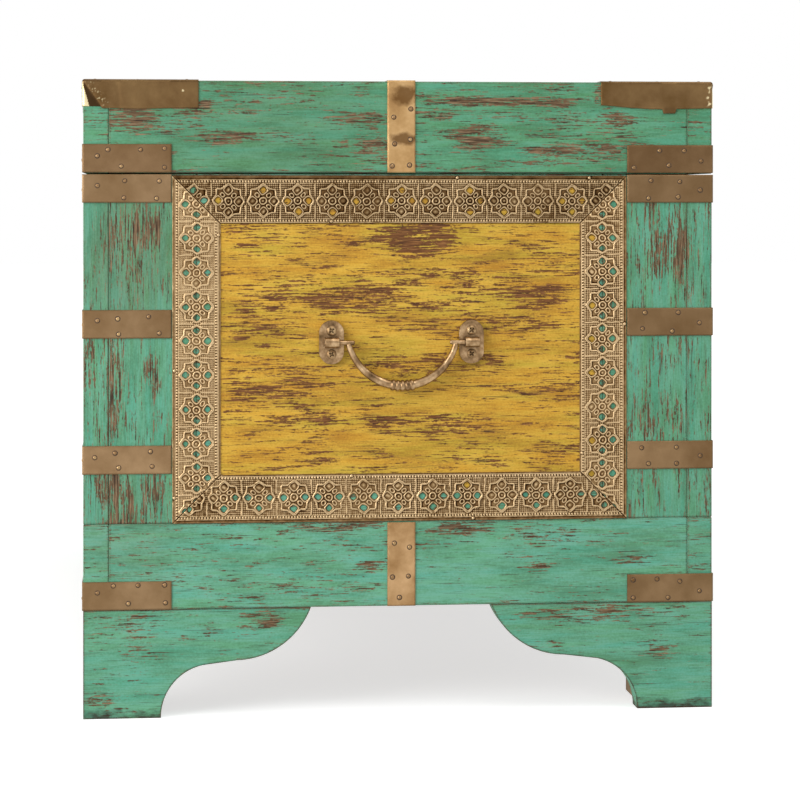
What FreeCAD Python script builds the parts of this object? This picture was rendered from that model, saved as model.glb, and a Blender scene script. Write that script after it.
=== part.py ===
import FreeCAD, Part
import math
import os
import re

import Sketcher

# A wooden dowry chest with brass trim. The origin is at the middle of the floor area under its
# feet, X runs along the chest, the long front with the hasp faces -Y and +Z is up.
# The end that the photograph shows is the right one, at +X.

SIZES = {
    # the chest as a whole
    "chest_length": 900,
    "chest_depth": 450,
    "chest_height": 450,
    "foot_height": 76.5,
    "lid_height": 65.5,
    "lid_gap": 0.8,
    # the boards
    "board_thickness": 18,
    "edge_ease": 0.9,
    "bottom_rail_height": 60.5,
    "corner_stile_width": 79.5,
    "centre_stile_width": 158,
    "floor_thickness": 12,
    "floor_batten": 20,
    "lid_plank_thickness": 12,
    "lid_batten_width": 45,
    "lid_batten_thickness": 18,
    "lid_batten_place": 250,
    "corner_block": 35,
    "corner_block_lift": 3,
    # the bracket feet, measured from the outer corner and the floor
    "toe_width": 54.5,
    "bracket_length": 160.5,
    "arch_low_run": 63.6,
    "arch_low_rise": 24.8,
    "arch_shoulder_run": 84,
    "arch_shoulder_rise": 36.7,
    "arch_brow_run": 108,
    "arch_brow_rise": 39.7,
    "arch_high_run": 140,
    "arch_high_rise": 50,
    # the embossed brass frames round the panels
    "frame_margin": 62.5,
    "frame_centre_margin": 125,
    "embossed_width": 34,
    "embossed_sheet": 0.8,
    "embossed_relief": 0.5,
    "motif_pitch": 24.5,
    "motif_reach": 12,
    "motif_boss_radius": 2.5,
    "motif_lobe_offset": 8,
    "pierced_diamond": 3,
    "bead_ridge_width": 1.4,
    "bead_ridge_inset": 3,
    # the plain brass straps and caps
    "strap_width": 20,
    "strap_leg": 62,
    "strap_sheet": 0.8,
    "lid_strap_lift": 0.5,
    "cap_length": 81,
    "cap_drop": 18.5,
    "cap_tip_width": 20,
    "cap_end_width": 16,
    "nail_radius": 1.9,
    "nail_dome": 0.9,
    # the drop handles
    "handle_rise": 4.6,
    "handle_spread": 100,
    "bail_standoff": 8,
    "bail_drop": 30.7,
    "bail_half_width": 37.2,
    "bail_rod_radius": 2.4,
    "bail_pin_radius": 1.6,
    "bail_collar_length": 17,
    "bail_collar_radius": 2.76,
    "bail_ring_radius": 3.4,
    "mount_width": 17.5,
    "mount_length": 31,
    "mount_thickness": 3.5,
    "lug_width": 10,
    "lug_radius": 3.6,
    "mount_screw_offset": 8.4,
    "screw_radius": 3.6,
    "screw_dome": 1.6,
    "screw_slot_width": 0.9,
    "running_clearance": 0.05,
    # the stop hinges at the back
    "hinge_strap_gap": 5,
    "hinge_length": 60,
    "hinge_leaf_height": 24,
    "hinge_leaf": 1.5,
    "hinge_knuckle_radius": 3.2,
    "hinge_pin_radius": 1.5,
    "hinge_standoff": 3.6,
    "knuckle_gap": 0.3,
    "pin_head_radius": 2.4,
    "pin_head": 0.9,
    "lid_stop_angle": 100,
    "heel_reach": 8,
    "heel_thickness": 1.5,
    "heel_clearance": 0.1,
    "small_screw_radius": 2.6,
    "small_screw_dome": 1.1,
    # the hasp at the front
    "hasp_standoff": 3.4,
    "hasp_plate_width": 40,
    "hasp_plate_height": 16,
    "hasp_sheet": 1.5,
    "hasp_knuckle_radius": 2.6,
    "hasp_knuckle_length": 16,
    "hasp_pin_radius": 1.2,
    "hasp_leaf_width": 24,
    "hasp_leaf_length": 44,
    "hasp_leaf_offset": 0.1,
    "hasp_reach": 26,
    "slot_clearance": 1.25,
    "staple_height": 16.5,
    "staple_plate_width": 40,
    "staple_plate_height": 20,
    "staple_tab": 3,
    "staple_tab_radius": 4.2,
    "staple_eye_radius": 2.6,
    "staple_eye_standoff": 7.7,
}

# Sums that several pieces share, written in the named sizes above.
SUMS = {
    "half_length": "chest_length / 2",
    "half_depth": "chest_depth / 2",
    "inner_half_length": "half_length - board_thickness",
    "inner_half_depth": "half_depth - board_thickness",
    "body_top": "chest_height - lid_height - lid_gap",
    "lid_bottom": "chest_height - lid_height",
    "rail_top": "foot_height + bottom_rail_height",
    "frame_width": "chest_depth - 2 * frame_margin",
    "front_frame_width": "(chest_length - 2 * frame_margin - frame_centre_margin) / 2",
    "front_frame_middle": "frame_centre_margin / 2 + front_frame_width / 2",
    "frame_top": "body_top - board_gap",
    "board_gap": "edge_ease",
    "floor_bottom": "foot_height + floor_batten",
    "lid_plank_bottom": "chest_height - lid_plank_thickness",
    "base_strap_height": "foot_height",
    "rim_strap_height": "body_top - strap_width",
    "strap_pitch": "(rim_strap_height - base_strap_height) / 3",
    "lower_strap_height": "base_strap_height + strap_pitch",
    "upper_strap_height": "base_strap_height + 2 * strap_pitch",
    "lid_strap_height": "lid_bottom + lid_strap_lift",
    "handle_height": "(rail_top + frame_top) / 2 + handle_rise",
    "bail_radius": "(bail_half_width ^ 2 + bail_drop ^ 2) / (2 * bail_drop)",
    "bail_centre_height": "handle_height - bail_drop + bail_radius",
    "handle_half_spread": "handle_spread / 2",
    "hinge_place": "front_frame_middle + (strap_width + hinge_length) / 2 + hinge_strap_gap",
    "hinge_axis_depth": "half_depth + hinge_standoff",
    "hinge_axis_height": "body_top + lid_gap / 2",
    "hasp_axis_depth": "half_depth + hasp_standoff",
    "staple_middle": "lid_bottom + staple_height",
    "hasp_axis_height": "staple_middle - hasp_reach",
}

# A sheet's round fold passes through the middle of a quarter circle.
quarter_middle_share = math.sqrt(0.5)

document = FreeCAD.newDocument("dowry_chest")
sheet = document.addObject("Spreadsheet::Sheet", "sizes")
for row, (size_name, size) in enumerate(SIZES.items(), start=1):
    sheet.set(f"A{row}", size_name)
    sheet.set(f"B{row}", str(size))
    sheet.setAlias(f"B{row}", size_name)
document.recompute()

nodes = {}


# How sums of named sizes become expressions and numbers

def formula(text):
    """Write a sum of named sizes as an expression on the sheet's cells."""

    def cell(word):
        name = word.group(0)
        if name in SUMS:
            return f"({formula(SUMS[name])})"
        return f"sizes.{name}" if name in SIZES else name

    return re.sub(r"[a-z][a-z_]*", cell, str(text))


def value(text):
    """The number that a sum of named sizes comes to."""
    return float(sheet.evalExpression(formula(text)))


def bind(thing, name, text):
    """Tie one property to a sum of named sizes."""
    thing.setExpression(name, formula(text))


def place(thing, x=0, y=0, z=0, turn=None):
    """Put an object at a place given by three sums, turned by a fixed rotation if one is given."""
    corner = FreeCAD.Vector(value(x), value(y), value(z))
    thing.Placement = FreeCAD.Placement(corner, turn or FreeCAD.Rotation())
    for axis, text in (("x", x), ("y", y), ("z", z)):
        bind(thing, f"Placement.Base.{axis}", text)


def span(side, near, far):
    """The low and high sum of a stretch that is given for the positive side of the chest."""
    if side > 0:
        return (near, far)
    return (f"-({far})", f"-({near})")


def around(middle, width):
    """The low and high sum of a stretch of a given width about its middle."""
    return (f"({middle}) - ({width}) / 2", f"({middle}) + ({width}) / 2")


def node(thing, name):
    """Give a finished sub-part its label and list it as one of the chest's nodes."""
    thing.Label = name
    nodes[name] = thing
    return thing


# How boards, plates, domes and turned pieces are made

def board(name, x, y, z):
    """A sawn board between low and high sums along each axis, with every edge eased."""
    body = document.addObject("PartDesign::Body", name)
    blank = body.newObject("PartDesign::AdditiveBox", f"{name}_blank")
    for size, (low, high) in zip(("Length", "Width", "Height"), (x, y, z)):
        bind(blank, size, f"({high}) - ({low})")
    eased = body.newObject("PartDesign::Fillet", f"{name}_eased")
    eased.Base = (blank, ["Edge1"])
    eased.UseAllEdges = True
    bind(eased, "Radius", "edge_ease")
    place(body, x[0], y[0], z[0])
    return body


PLANES = {"XY": "XY_Plane", "XZ": "XZ_Plane", "YZ": "YZ_Plane"}


def outline(body, name, plane, points):
    """A closed sketch. A point of two sums ends a line, one of four is an arc's middle and end."""
    sketch = body.newObject("Sketcher::SketchObject", name)
    origin = [part for part in body.Origin.OriginFeatures if part.Role == PLANES[plane]][0]
    sketch.AttachmentSupport = [(origin, "")]
    sketch.MapMode = "FlatFace"
    numbers = [[value(text) for text in point] for point in points]
    corners = [FreeCAD.Vector(*point[-2:], 0) for point in numbers]
    ends = []
    for index, point in enumerate(numbers):
        start, stop = corners[index - 1], corners[index]
        if len(point) == 2:
            sketch.addGeometry(Part.LineSegment(start, stop))
            ends.append((1, 2))
            continue
        middle = FreeCAD.Vector(*point[:2], 0)
        edge = sketch.addGeometry(Part.Arc(start, middle, stop))
        first = sketch.getPoint(edge, 1)
        ends.append((1, 2) if first.distanceToPoint(start) < first.distanceToPoint(stop) else (2, 1))
    count = len(points)
    for index in range(count):
        following = (index + 1) % count
        sketch.addConstraint(Sketcher.Constraint(
            "Coincident", index, ends[index][1], following, ends[following][0]))
    for index, point in enumerate(points):
        pin(sketch, index, ends[index][1], point[-2:], numbers[index][-2:])
        if len(point) == 4:
            middle = FreeCAD.Vector(*numbers[index][:2], 0)
            mark = sketch.addGeometry(Part.Point(middle), True)
            pin(sketch, mark, 1, point[:2], numbers[index][:2])
            sketch.addConstraint(Sketcher.Constraint("PointOnObject", mark, 1, index))
    return sketch


def pin(sketch, geometry, end, sums, numbers):
    """Hold one point of a sketch at two sums from the sketch's origin."""
    for kind, text, number in zip(("DistanceX", "DistanceY"), sums, numbers):
        held = sketch.addConstraint(Sketcher.Constraint(kind, -1, 1, geometry, end, number))
        sketch.setExpression(f"Constraints[{held}]", formula(text))


def plate(name, plane, points, low, high):
    """A flat piece with a drawn outline, between a low and a high sum square to its plane."""
    body = document.addObject("PartDesign::Body", name)
    sketch = outline(body, f"{name}_outline", plane, points)
    pad = body.newObject("PartDesign::Pad", f"{name}_pad")
    pad.Profile = sketch
    bind(pad, "Length", f"({high}) - ({low})")
    along = {"XY": "z", "XZ": "y", "YZ": "x"}[plane]
    place(body, **{along: high if plane == "XZ" else low})
    return body


def dome(name, radius, rise):
    """A cap of a ball that stands on the XY plane, with a given foot radius and rise."""
    ball_radius = f"(({radius}) ^ 2 + ({rise}) ^ 2) / (2 * ({rise}))"
    below = f"({ball_radius} - {rise})"
    cap = document.addObject("Part::Sphere", name)
    bind(cap, "Radius", ball_radius)
    bind(cap, "Angle1", f"asin({below} / ({ball_radius}))")
    place(cap, z=f"-{below}")
    return cap


def block(name, x, y, z):
    """A plain block between low and high sums along each axis."""
    box = document.addObject("Part::Box", name)
    for size, (low, high) in zip(("Length", "Width", "Height"), (x, y, z)):
        bind(box, size, f"({high}) - ({low})")
    place(box, x[0], y[0], z[0])
    return box


ALONG_X = FreeCAD.Rotation(FreeCAD.Vector(0, 1, 0), 90)
ALONG_Y = FreeCAD.Rotation(FreeCAD.Vector(1, 0, 0), -90)


def rod(name, axis, x, y, z, radius):
    """A round bar along X or Y; the sum pair in its direction gives its two ends."""
    bar = document.addObject("Part::Cylinder", name)
    bind(bar, "Radius", radius)
    low, high = x if axis == "X" else y
    bind(bar, "Height", f"({high}) - ({low})")
    if axis == "X":
        place(bar, low, y, z, ALONG_X)
    else:
        place(bar, x, low, z, ALONG_Y)
    return bar


def fused(name, pieces):
    """Pieces of one casting or sheet, joined into one solid."""
    whole = document.addObject("Part::MultiFuse", name)
    whole.Shapes = pieces
    whole.Refine = True
    return whole


def cut(name, base, tool):
    """A piece with another shape taken out of it."""
    rest = document.addObject("Part::Cut", name)
    rest.Base = base
    rest.Tool = tool
    return rest


def together(name, pieces):
    """Separate solids of one kind, kept apart in one node."""
    several = document.addObject("Part::Compound", name)
    several.Links = pieces
    return several


def scattered(name, sets):
    """Copies of pattern pieces, each at a point and turned so that its Z runs outwards."""
    document.recompute()
    copies = []
    for pattern, places in sets:
        for point, outward in places:
            copy = pattern.Shape.copy()
            turn = FreeCAD.Rotation(FreeCAD.Vector(0, 0, 1), outward)
            copy.Placement = FreeCAD.Placement(point, turn) * copy.Placement
            copies.append(copy)
    several = document.addObject("Part::Feature", name)
    several.Shape = Part.makeCompound(copies)
    return several


SIDES = (-1, 1)
SIDE_NAMES = {-1: "left", 1: "right"}
FACE_NAMES = {-1: "front", 1: "back"}
OUTWARD = {"X": lambda side: FreeCAD.Vector(side, 0, 0), "Y": lambda side: FreeCAD.Vector(0, side, 0)}


# The carcass boards. The front and back boards lap over the ends of the end boards.

for face in SIDES:
    face_name = FACE_NAMES[face]
    thick = span(face, "inner_half_depth", "half_depth")
    node(board(f"{face_name}_bottom_rail", ("-half_length", "half_length"), thick,
               ("foot_height", "rail_top")), f"{face_name}_bottom_rail")
    for side in SIDES:
        name = f"{face_name}_{SIDE_NAMES[side]}_stile"
        node(board(name, span(side, "half_length - corner_stile_width", "half_length"), thick,
                   ("rail_top", "body_top")), name)

front = span(-1, "inner_half_depth", "half_depth")
node(board("front_centre_stile", around("0", "centre_stile_width"), front,
           ("rail_top", "body_top")), "front_centre_stile")
for side in SIDES:
    name = f"front_{SIDE_NAMES[side]}_panel"
    node(board(name, span(side, "centre_stile_width / 2", "half_length - corner_stile_width"), front,
               ("rail_top", "body_top")), name)

BACK_PLANKS = 3
back = span(1, "inner_half_depth", "half_depth")
planks = []
for index in range(BACK_PLANKS):
    low, high = [f"rail_top + (body_top - rail_top) * {edge} / {BACK_PLANKS}"
                 for edge in (index, index + 1)]
    planks.append(board(f"back_plank_{index + 1}",
                        ("-half_length + corner_stile_width", "half_length - corner_stile_width"),
                        back, (low, high)))
node(together("back_planks", planks), "back_planks")

for side in SIDES:
    end = SIDE_NAMES[side]
    thick = span(side, "inner_half_length", "half_length")
    name = f"{end}_bottom_rail"
    node(board(name, thick, ("-inner_half_depth", "inner_half_depth"),
               ("foot_height", "rail_top")), name)
    for face in SIDES:
        name = f"{end}_{FACE_NAMES[face]}_stile"
        node(board(name, thick, span(face, "half_depth - corner_stile_width", "inner_half_depth"),
                   ("rail_top", "body_top")), name)
    name = f"{end}_panel"
    node(board(name, thick, ("-half_depth + corner_stile_width", "half_depth - corner_stile_width"),
               ("rail_top", "body_top")), name)


# The floor lies on battens along the lower rails, and blocks in the feet stiffen the corners.

node(board("floor_board", ("-inner_half_length", "inner_half_length"),
           ("-inner_half_depth", "inner_half_depth"),
           ("floor_bottom", "floor_bottom + floor_thickness")), "floor_board")
battens = []
for face in SIDES:
    battens.append(board(f"{FACE_NAMES[face]}_floor_batten",
                         ("-inner_half_length", "inner_half_length"),
                         span(face, "inner_half_depth - floor_batten", "inner_half_depth"),
                         ("foot_height", "floor_bottom")))
for side in SIDES:
    battens.append(board(f"{SIDE_NAMES[side]}_floor_batten",
                         span(side, "inner_half_length - floor_batten", "inner_half_length"),
                         ("-inner_half_depth + floor_batten", "inner_half_depth - floor_batten"),
                         ("foot_height", "floor_bottom")))
node(together("floor_battens", battens), "floor_battens")

CORNERS = [(side, face) for face in SIDES for side in SIDES]
blocks = []
for side, face in CORNERS:
    blocks.append(board(f"{FACE_NAMES[face]}_{SIDE_NAMES[side]}_corner_block",
                        span(side, "inner_half_length - corner_block", "inner_half_length"),
                        span(face, "inner_half_depth - corner_block", "inner_half_depth"),
                        ("corner_block_lift", "foot_height")))
node(together("corner_blocks", blocks), "corner_blocks")


# The bracket feet. Each bracket has a hollow curve over its toe and a round brow at its far end,
# and the end brackets lap over the front and back ones.

def bracket(name, plane, direction, corner, start, thick):
    """A foot bracket that runs from the sum start to its full length, inwards from a corner."""

    def along(run):
        return f"{direction} * ({corner} - ({run}))"

    points = [(along(start), "0"),
              (along("toe_width"), "0"),
              (along("arch_low_run"), "arch_low_rise",
               along("arch_shoulder_run"), "arch_shoulder_rise"),
              (along("arch_brow_run"), "arch_brow_rise"),
              (along("arch_high_run"), "arch_high_rise", along("bracket_length"), "foot_height"),
              (along(start), "foot_height")]
    return plate(name, plane, points, *thick)


for side, face in CORNERS:
    name = f"{FACE_NAMES[face]}_{SIDE_NAMES[side]}_foot"
    end_bracket = bracket(f"{name}_end_bracket", "YZ", face, "half_depth", "0",
                          span(side, "inner_half_length", "half_length"))
    long_bracket = bracket(f"{name}_long_bracket", "XZ", side, "half_length", "board_thickness",
                           span(face, "inner_half_depth", "half_depth"))
    node(together(name, [end_bracket, long_bracket]), name)


# The lid is a frame of four boards with planks let in flush between them.

for face in SIDES:
    name = f"lid_{FACE_NAMES[face]}_board"
    node(board(name, ("-half_length", "half_length"), span(face, "inner_half_depth", "half_depth"),
               ("lid_bottom", "chest_height")), name)
for side in SIDES:
    name = f"lid_{SIDE_NAMES[side]}_board"
    node(board(name, span(side, "inner_half_length", "half_length"),
               ("-inner_half_depth", "inner_half_depth"), ("lid_bottom", "chest_height")), name)

LID_PLANKS = 3
planks = []
for index in range(LID_PLANKS):
    low, high = [f"inner_half_depth * (2 * {edge} / {LID_PLANKS} - 1)" for edge in (index, index + 1)]
    planks.append(board(f"lid_plank_{index + 1}", ("-inner_half_length", "inner_half_length"),
                        (low, high), ("lid_plank_bottom", "chest_height")))
node(together("lid_top_planks", planks), "lid_top_planks")

battens = []
for index in (-1, 0, 1):
    battens.append(board(f"lid_batten_{index + 2}",
                         around(f"{index} * lid_batten_place", "lid_batten_width"),
                         ("-inner_half_depth", "inner_half_depth"),
                         ("lid_plank_bottom - lid_batten_thickness", "lid_plank_bottom")))
node(together("lid_battens", battens), "lid_battens")


# The embossed brass frames. Each is four mitred strips with raised edges and, along the middle,
# round bosses in the middle of four pierced diamonds.

def embossed_strip(length):
    """One strip lying on the XY plane, its outer edge along X and its inner edge below it."""
    width = value("embossed_width")
    thick = value("embossed_sheet")
    raised = thick + value("embossed_relief")
    half = length / 2
    middle = -width / 2
    hole = value("pierced_diamond") / 2
    offset = value("motif_lobe_offset")
    reach = value("motif_reach")

    def polygon(points):
        return Part.makePolygon([FreeCAD.Vector(x, y, 0) for x, y in points + points[:1]])

    def mitred(outer, inner):
        """The outline between two distances from the outer edge, mitred at both ends."""
        return [(-half + outer, -outer), (half - outer, -outer),
                (half - inner, -inner), (-half + inner, -inner)]

    count = max(1, round(length / value("motif_pitch")))
    pitch = length / count
    centres = [(index + 0.5) * pitch - half for index in range(count)]
    whole = [x for x in centres if abs(x) + reach < half - width / 2]
    wires = [polygon(mitred(0, width))]
    for x in whole:
        for across, up in ((offset, 0), (-offset, 0), (0, offset), (0, -offset)):
            u, w = x + across, middle + up
            wires.append(polygon([(u - hole, w), (u, w - hole), (u + hole, w), (u, w + hole)]))
    strip = Part.Face(wires, "Part::FaceMakerBullseye").extrude(FreeCAD.Vector(0, 0, thick))
    inset = value("bead_ridge_inset")
    ridge = value("bead_ridge_width")
    raised_parts = []
    for outer in (inset, width - inset - ridge):
        face = Part.Face(polygon(mitred(outer, outer + ridge)))
        raised_parts.append(face.extrude(FreeCAD.Vector(0, 0, raised)))
    for x in whole:
        raised_parts.append(Part.makeCylinder(value("motif_boss_radius"), raised,
                                              FreeCAD.Vector(x, middle, 0)))
    return strip.fuse(raised_parts).removeSplitter()


def embossed_frame(name, across, up, out, middle, width):
    """Four strips round a panel; across, up and out are the directions of its face."""
    high, low = value("frame_top"), value("rail_top")
    height = high - low
    stand = out * value("half_length" if out.x else "half_depth")
    centre = across * value(middle) + up * ((high + low) / 2) + stand
    frame_turn = FreeCAD.Rotation(across, up, out, "XYZ")
    strips = []
    for index in range(4):
        length, rise = (width, height) if index % 2 == 0 else (height, width)
        strip = embossed_strip(length)
        quarter = FreeCAD.Rotation(FreeCAD.Vector(0, 0, 1), 90 * index)
        shift = quarter.multVec(FreeCAD.Vector(0, rise / 2, 0))
        strip.Placement = FreeCAD.Placement(centre + frame_turn.multVec(shift), frame_turn * quarter)
        strips.append(strip)
    frame = document.addObject("Part::Feature", name)
    frame.Shape = Part.makeCompound(strips)
    return node(frame, name)


UP = FreeCAD.Vector(0, 0, 1)
for side in SIDES:
    embossed_frame(f"front_{SIDE_NAMES[side]}_embossed_frame", FreeCAD.Vector(1, 0, 0), UP,
                   OUTWARD["Y"](-1), f"{side} * front_frame_middle", value("front_frame_width"))
    embossed_frame(f"{SIDE_NAMES[side]}_embossed_frame", FreeCAD.Vector(0, side, 0), UP,
                   OUTWARD["X"](side), "0", value("frame_width"))


# The plain straps that are folded round the corners of the carcass and the lid

def corner_strap(name, side, face, bottom):
    """A strap folded round one upright corner, its legs lying on both faces."""

    def at(along, deep):
        return (f"{side} * (half_length + {along})", f"{face} * (half_depth + {deep})")

    fold = f"strap_sheet * {quarter_middle_share}"
    points = [at("-(strap_leg)", "0"), at("0", "0"), at("0", "-(strap_leg)"),
              at("strap_sheet", "-(strap_leg)"), at("strap_sheet", "0"),
              at(fold, fold) + at("0", "strap_sheet"), at("-(strap_leg)", "strap_sheet")]
    return plate(name, "XY", points, bottom, f"{bottom} + strap_width")


LEVELS = {"base": "base_strap_height", "lower": "lower_strap_height",
          "upper": "upper_strap_height", "rim": "rim_strap_height", "lid": "lid_strap_height"}
for level, bottom in LEVELS.items():
    straps = [corner_strap(f"{level}_strap_{number}", side, face, bottom)
              for number, (side, face) in enumerate(CORNERS, start=1)]
    name = f"{level}_corner_straps"
    node(together(name, straps), name)

straps = []
for level in ("base", "lower", "upper"):
    straps.append(block(f"centre_stile_{level}_strap", around("0", "2 * strap_leg"),
                        span(-1, "half_depth", "half_depth + strap_sheet"),
                        (LEVELS[level], f"{LEVELS[level]} + strap_width")))
node(together("centre_stile_straps", straps), "centre_stile_straps")

# Upright straps run over the middle of each long or short side: along a face of the lid and
# over its top, and up the bottom rail.

def lid_centre_strap(name, axis, side, middle):
    """A strap up the face of the lid at one side and onto its top."""
    half = {"X": "half_length", "Y": "half_depth"}[axis]

    def out(distance):
        return f"{side} * ({half} + {distance})"

    fold = f"strap_sheet * {quarter_middle_share}"
    points = [(out("0"), "lid_strap_height"), (out("strap_sheet"), "lid_strap_height"),
              (out("strap_sheet"), "chest_height"),
              (out(fold), f"chest_height + {fold}", out("0"), "chest_height + strap_sheet"),
              (out("-(strap_leg)"), "chest_height + strap_sheet"),
              (out("-(strap_leg)"), "chest_height"), (out("0"), "chest_height")]
    plane = {"X": "XZ", "Y": "YZ"}[axis]
    return plate(name, plane, points, *around(middle, "strap_width"))


over_lid = []
up_rail = []
for side in SIDES:
    end = SIDE_NAMES[side]
    over_lid.append(lid_centre_strap(f"lid_{end}_end_strap", "X", side, "0"))
    up_rail.append(block(f"base_{end}_end_strap",
                         span(side, "half_length", "half_length + strap_sheet"),
                         around("0", "strap_width"), ("foot_height", "rail_top - board_gap")))
    for face in SIDES:
        middle = f"{side} * front_frame_middle"
        over_lid.append(lid_centre_strap(f"lid_{FACE_NAMES[face]}_{end}_strap", "Y", face, middle))
    up_rail.append(block(f"base_front_{end}_strap", around(f"{side} * front_frame_middle", "strap_width"),
                         span(-1, "half_depth", "half_depth + strap_sheet"),
                         ("foot_height", "rail_top - board_gap")))
node(together("lid_centre_straps", over_lid), "lid_centre_straps")
node(together("base_centre_straps", up_rail), "base_centre_straps")


# The caps on the lid's corners: a pointed sheet on top, folded down over both faces.

def lid_cap(name, side, face):
    """The cap on one corner of the lid."""

    def at(along, deep):
        return (f"{side} * (half_length + ({along}))", f"{face} * (half_depth + ({deep}))")

    sheet_top = ("chest_height", "chest_height + strap_sheet")
    drop = ("chest_height - cap_drop", "chest_height + strap_sheet")
    points = [at("-cap_length", "strap_sheet"), at("strap_sheet", "strap_sheet"),
              at("strap_sheet", "-cap_length"), at("-cap_end_width", "-cap_length"),
              at("-cap_tip_width - cap_end_width", "-cap_tip_width - cap_end_width"),
              at("-cap_length", "-cap_end_width")]
    top = plate(f"{name}_top", "XY", points, *sheet_top)
    end = block(f"{name}_end_drop", span(side, "half_length", "half_length + strap_sheet"),
                span(face, "half_depth - cap_length", "half_depth + strap_sheet"), drop)
    long = block(f"{name}_long_drop", span(side, "half_length - cap_length", "half_length + strap_sheet"),
                 span(face, "half_depth", "half_depth + strap_sheet"), drop)
    return fused(name, [top, end, long])


caps = [lid_cap(f"lid_cap_{number}", side, face)
        for number, (side, face) in enumerate(CORNERS, start=1)]
node(together("lid_corner_caps", caps), "lid_corner_caps")


# The domed nails in the straps. Each pair is a share of the strap's leg, from the corner, and of
# the strap's width, from its lower edge.

left_leg_nail_shares = {
    "base": [(0.16, 0.62), (0.34, 0.86), (0.62, 0.87), (0.92, 0.87), (0.51, 0.23), (0.93, 0.24)],
    "lower": [(0.13, 0.60), (0.36, 0.75), (0.76, 0.79), (0.40, 0.23), (0.78, 0.27)],
    "upper": [(0.16, 0.63), (0.39, 0.69), (0.74, 0.76), (0.40, 0.15), (0.86, 0.18)],
    "rim": [(0.16, 0.60), (0.47, 0.77), (0.86, 0.76), (0.46, 0.17), (0.83, 0.15)],
    "lid": [(0.16, 0.58), (0.28, 0.80), (0.65, 0.80), (0.92, 0.85), (0.43, 0.22), (0.92, 0.18)],
}
right_leg_nail_shares = {
    "base": [(0.15, 0.37), (0.38, 0.73), (0.65, 0.82), (0.52, 0.15), (0.93, 0.16), (0.93, 0.80)],
    "lower": [(0.14, 0.46), (0.42, 0.77), (0.83, 0.76), (0.42, 0.19), (0.75, 0.19)],
    "upper": [(0.15, 0.46), (0.40, 0.83), (0.79, 0.83), (0.47, 0.16), (0.82, 0.26)],
    "rim": [(0.14, 0.45), (0.38, 0.75), (0.72, 0.79), (0.75, 0.16), (0.40, 0.20)],
    "lid": [(0.13, 0.43), (0.33, 0.80), (0.62, 0.80), (0.51, 0.27), (0.92, 0.18)],
}
lid_strap_nail_shares = [(0.84, 0.70), (0.23, 0.61), (0.82, 0.37), (0.26, 0.32), (0.17, 0.08),
                         (0.79, 0.09)]
rail_strap_nail_shares = [(0.25, 0.74), (0.79, 0.69), (0.18, 0.34), (0.75, 0.35), (0.43, 0.10)]
top_strap_nail_shares = [(0.22, 0.20), (0.78, 0.26), (0.24, 0.55), (0.76, 0.60), (0.50, 0.88)]
cap_nail_shares = [(0.10, 0.10), (0.90, 0.10), (0.10, 0.90), (0.47, 0.14), (0.14, 0.47)]

nail = dome("nail_pattern", "nail_radius", "nail_dome")


def on_face(axis, side, across, height, lift="strap_sheet"):
    """A nail's place on the sheet that lies on one upright face, and the way that it points."""
    if axis == "X":
        point = FreeCAD.Vector(side * value(f"half_length + {lift}"), across, height)
    else:
        point = FreeCAD.Vector(across, side * value(f"half_depth + {lift}"), height)
    return (point, OUTWARD[axis](side))


def leg_nails(level, side, face):
    """The nails in both legs of one corner strap."""
    bottom, width, leg = value(LEVELS[level]), value("strap_width"), value("strap_leg")
    shares = [left_leg_nail_shares, right_leg_nail_shares]
    if side * face > 0:
        shares.reverse()
    places = []
    for along, up in shares[0][level]:
        across = face * (value("half_depth") - along * leg)
        places.append(on_face("X", side, across, bottom + up * width))
    for along, up in shares[1][level]:
        across = side * (value("half_length") - along * leg)
        places.append(on_face("Y", face, across, bottom + up * width))
    return places


def strap_nails(axis, side, middle, bottom, top, shares):
    """The nails in an upright strap, from shares of its width and its height."""
    width = value("strap_width")
    return [on_face(axis, side, middle + (across - 0.5) * width, bottom + up * (top - bottom))
            for across, up in shares]


body_places = []
for level in ("base", "lower", "upper", "rim"):
    for side, face in CORNERS:
        body_places += leg_nails(level, side, face)
for level in ("base", "lower", "upper"):
    for side in SIDES:
        for along, up in left_leg_nail_shares[level]:
            body_places.append(on_face("Y", -1, side * along * value("strap_leg"),
                                       value(LEVELS[level]) + up * value("strap_width")))
for side in SIDES:
    low, high = value("foot_height"), value("rail_top")
    body_places += strap_nails("X", side, 0, low, high, rail_strap_nail_shares)
    body_places += strap_nails("Y", -1, side * value("front_frame_middle"), low, high,
                               rail_strap_nail_shares)
node(scattered("body_nails", [(nail, body_places)]), "body_nails")

lid_places = []
low, high = value("lid_bottom"), value("chest_height")
top = value("chest_height + strap_sheet")
leg, width = value("strap_leg"), value("strap_width")
for side, face in CORNERS:
    lid_places += leg_nails("lid", side, face)
    for along, deep in cap_nail_shares:
        point = FreeCAD.Vector(side * (value("half_length") - along * value("cap_length")),
                               face * (value("half_depth") - deep * value("cap_length")), top)
        lid_places.append((point, UP))
    middle = side * value("front_frame_middle")
    lid_places += strap_nails("Y", face, middle, low, high, lid_strap_nail_shares)
    for across, along in top_strap_nail_shares:
        point = FreeCAD.Vector(middle + (across - 0.5) * width,
                               face * (value("half_depth") - along * leg), top)
        lid_places.append((point, UP))
for side in SIDES:
    lid_places += strap_nails("X", side, 0, low, high, lid_strap_nail_shares)
    for across, along in top_strap_nail_shares:
        point = FreeCAD.Vector(side * (value("half_length") - along * leg), (across - 0.5) * width, top)
        lid_places.append((point, UP))
node(scattered("lid_nails", [(nail, lid_places)]), "lid_nails")


# The drop handles: two cast plates with a bored lug each, and a bail that turns in them.

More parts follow.
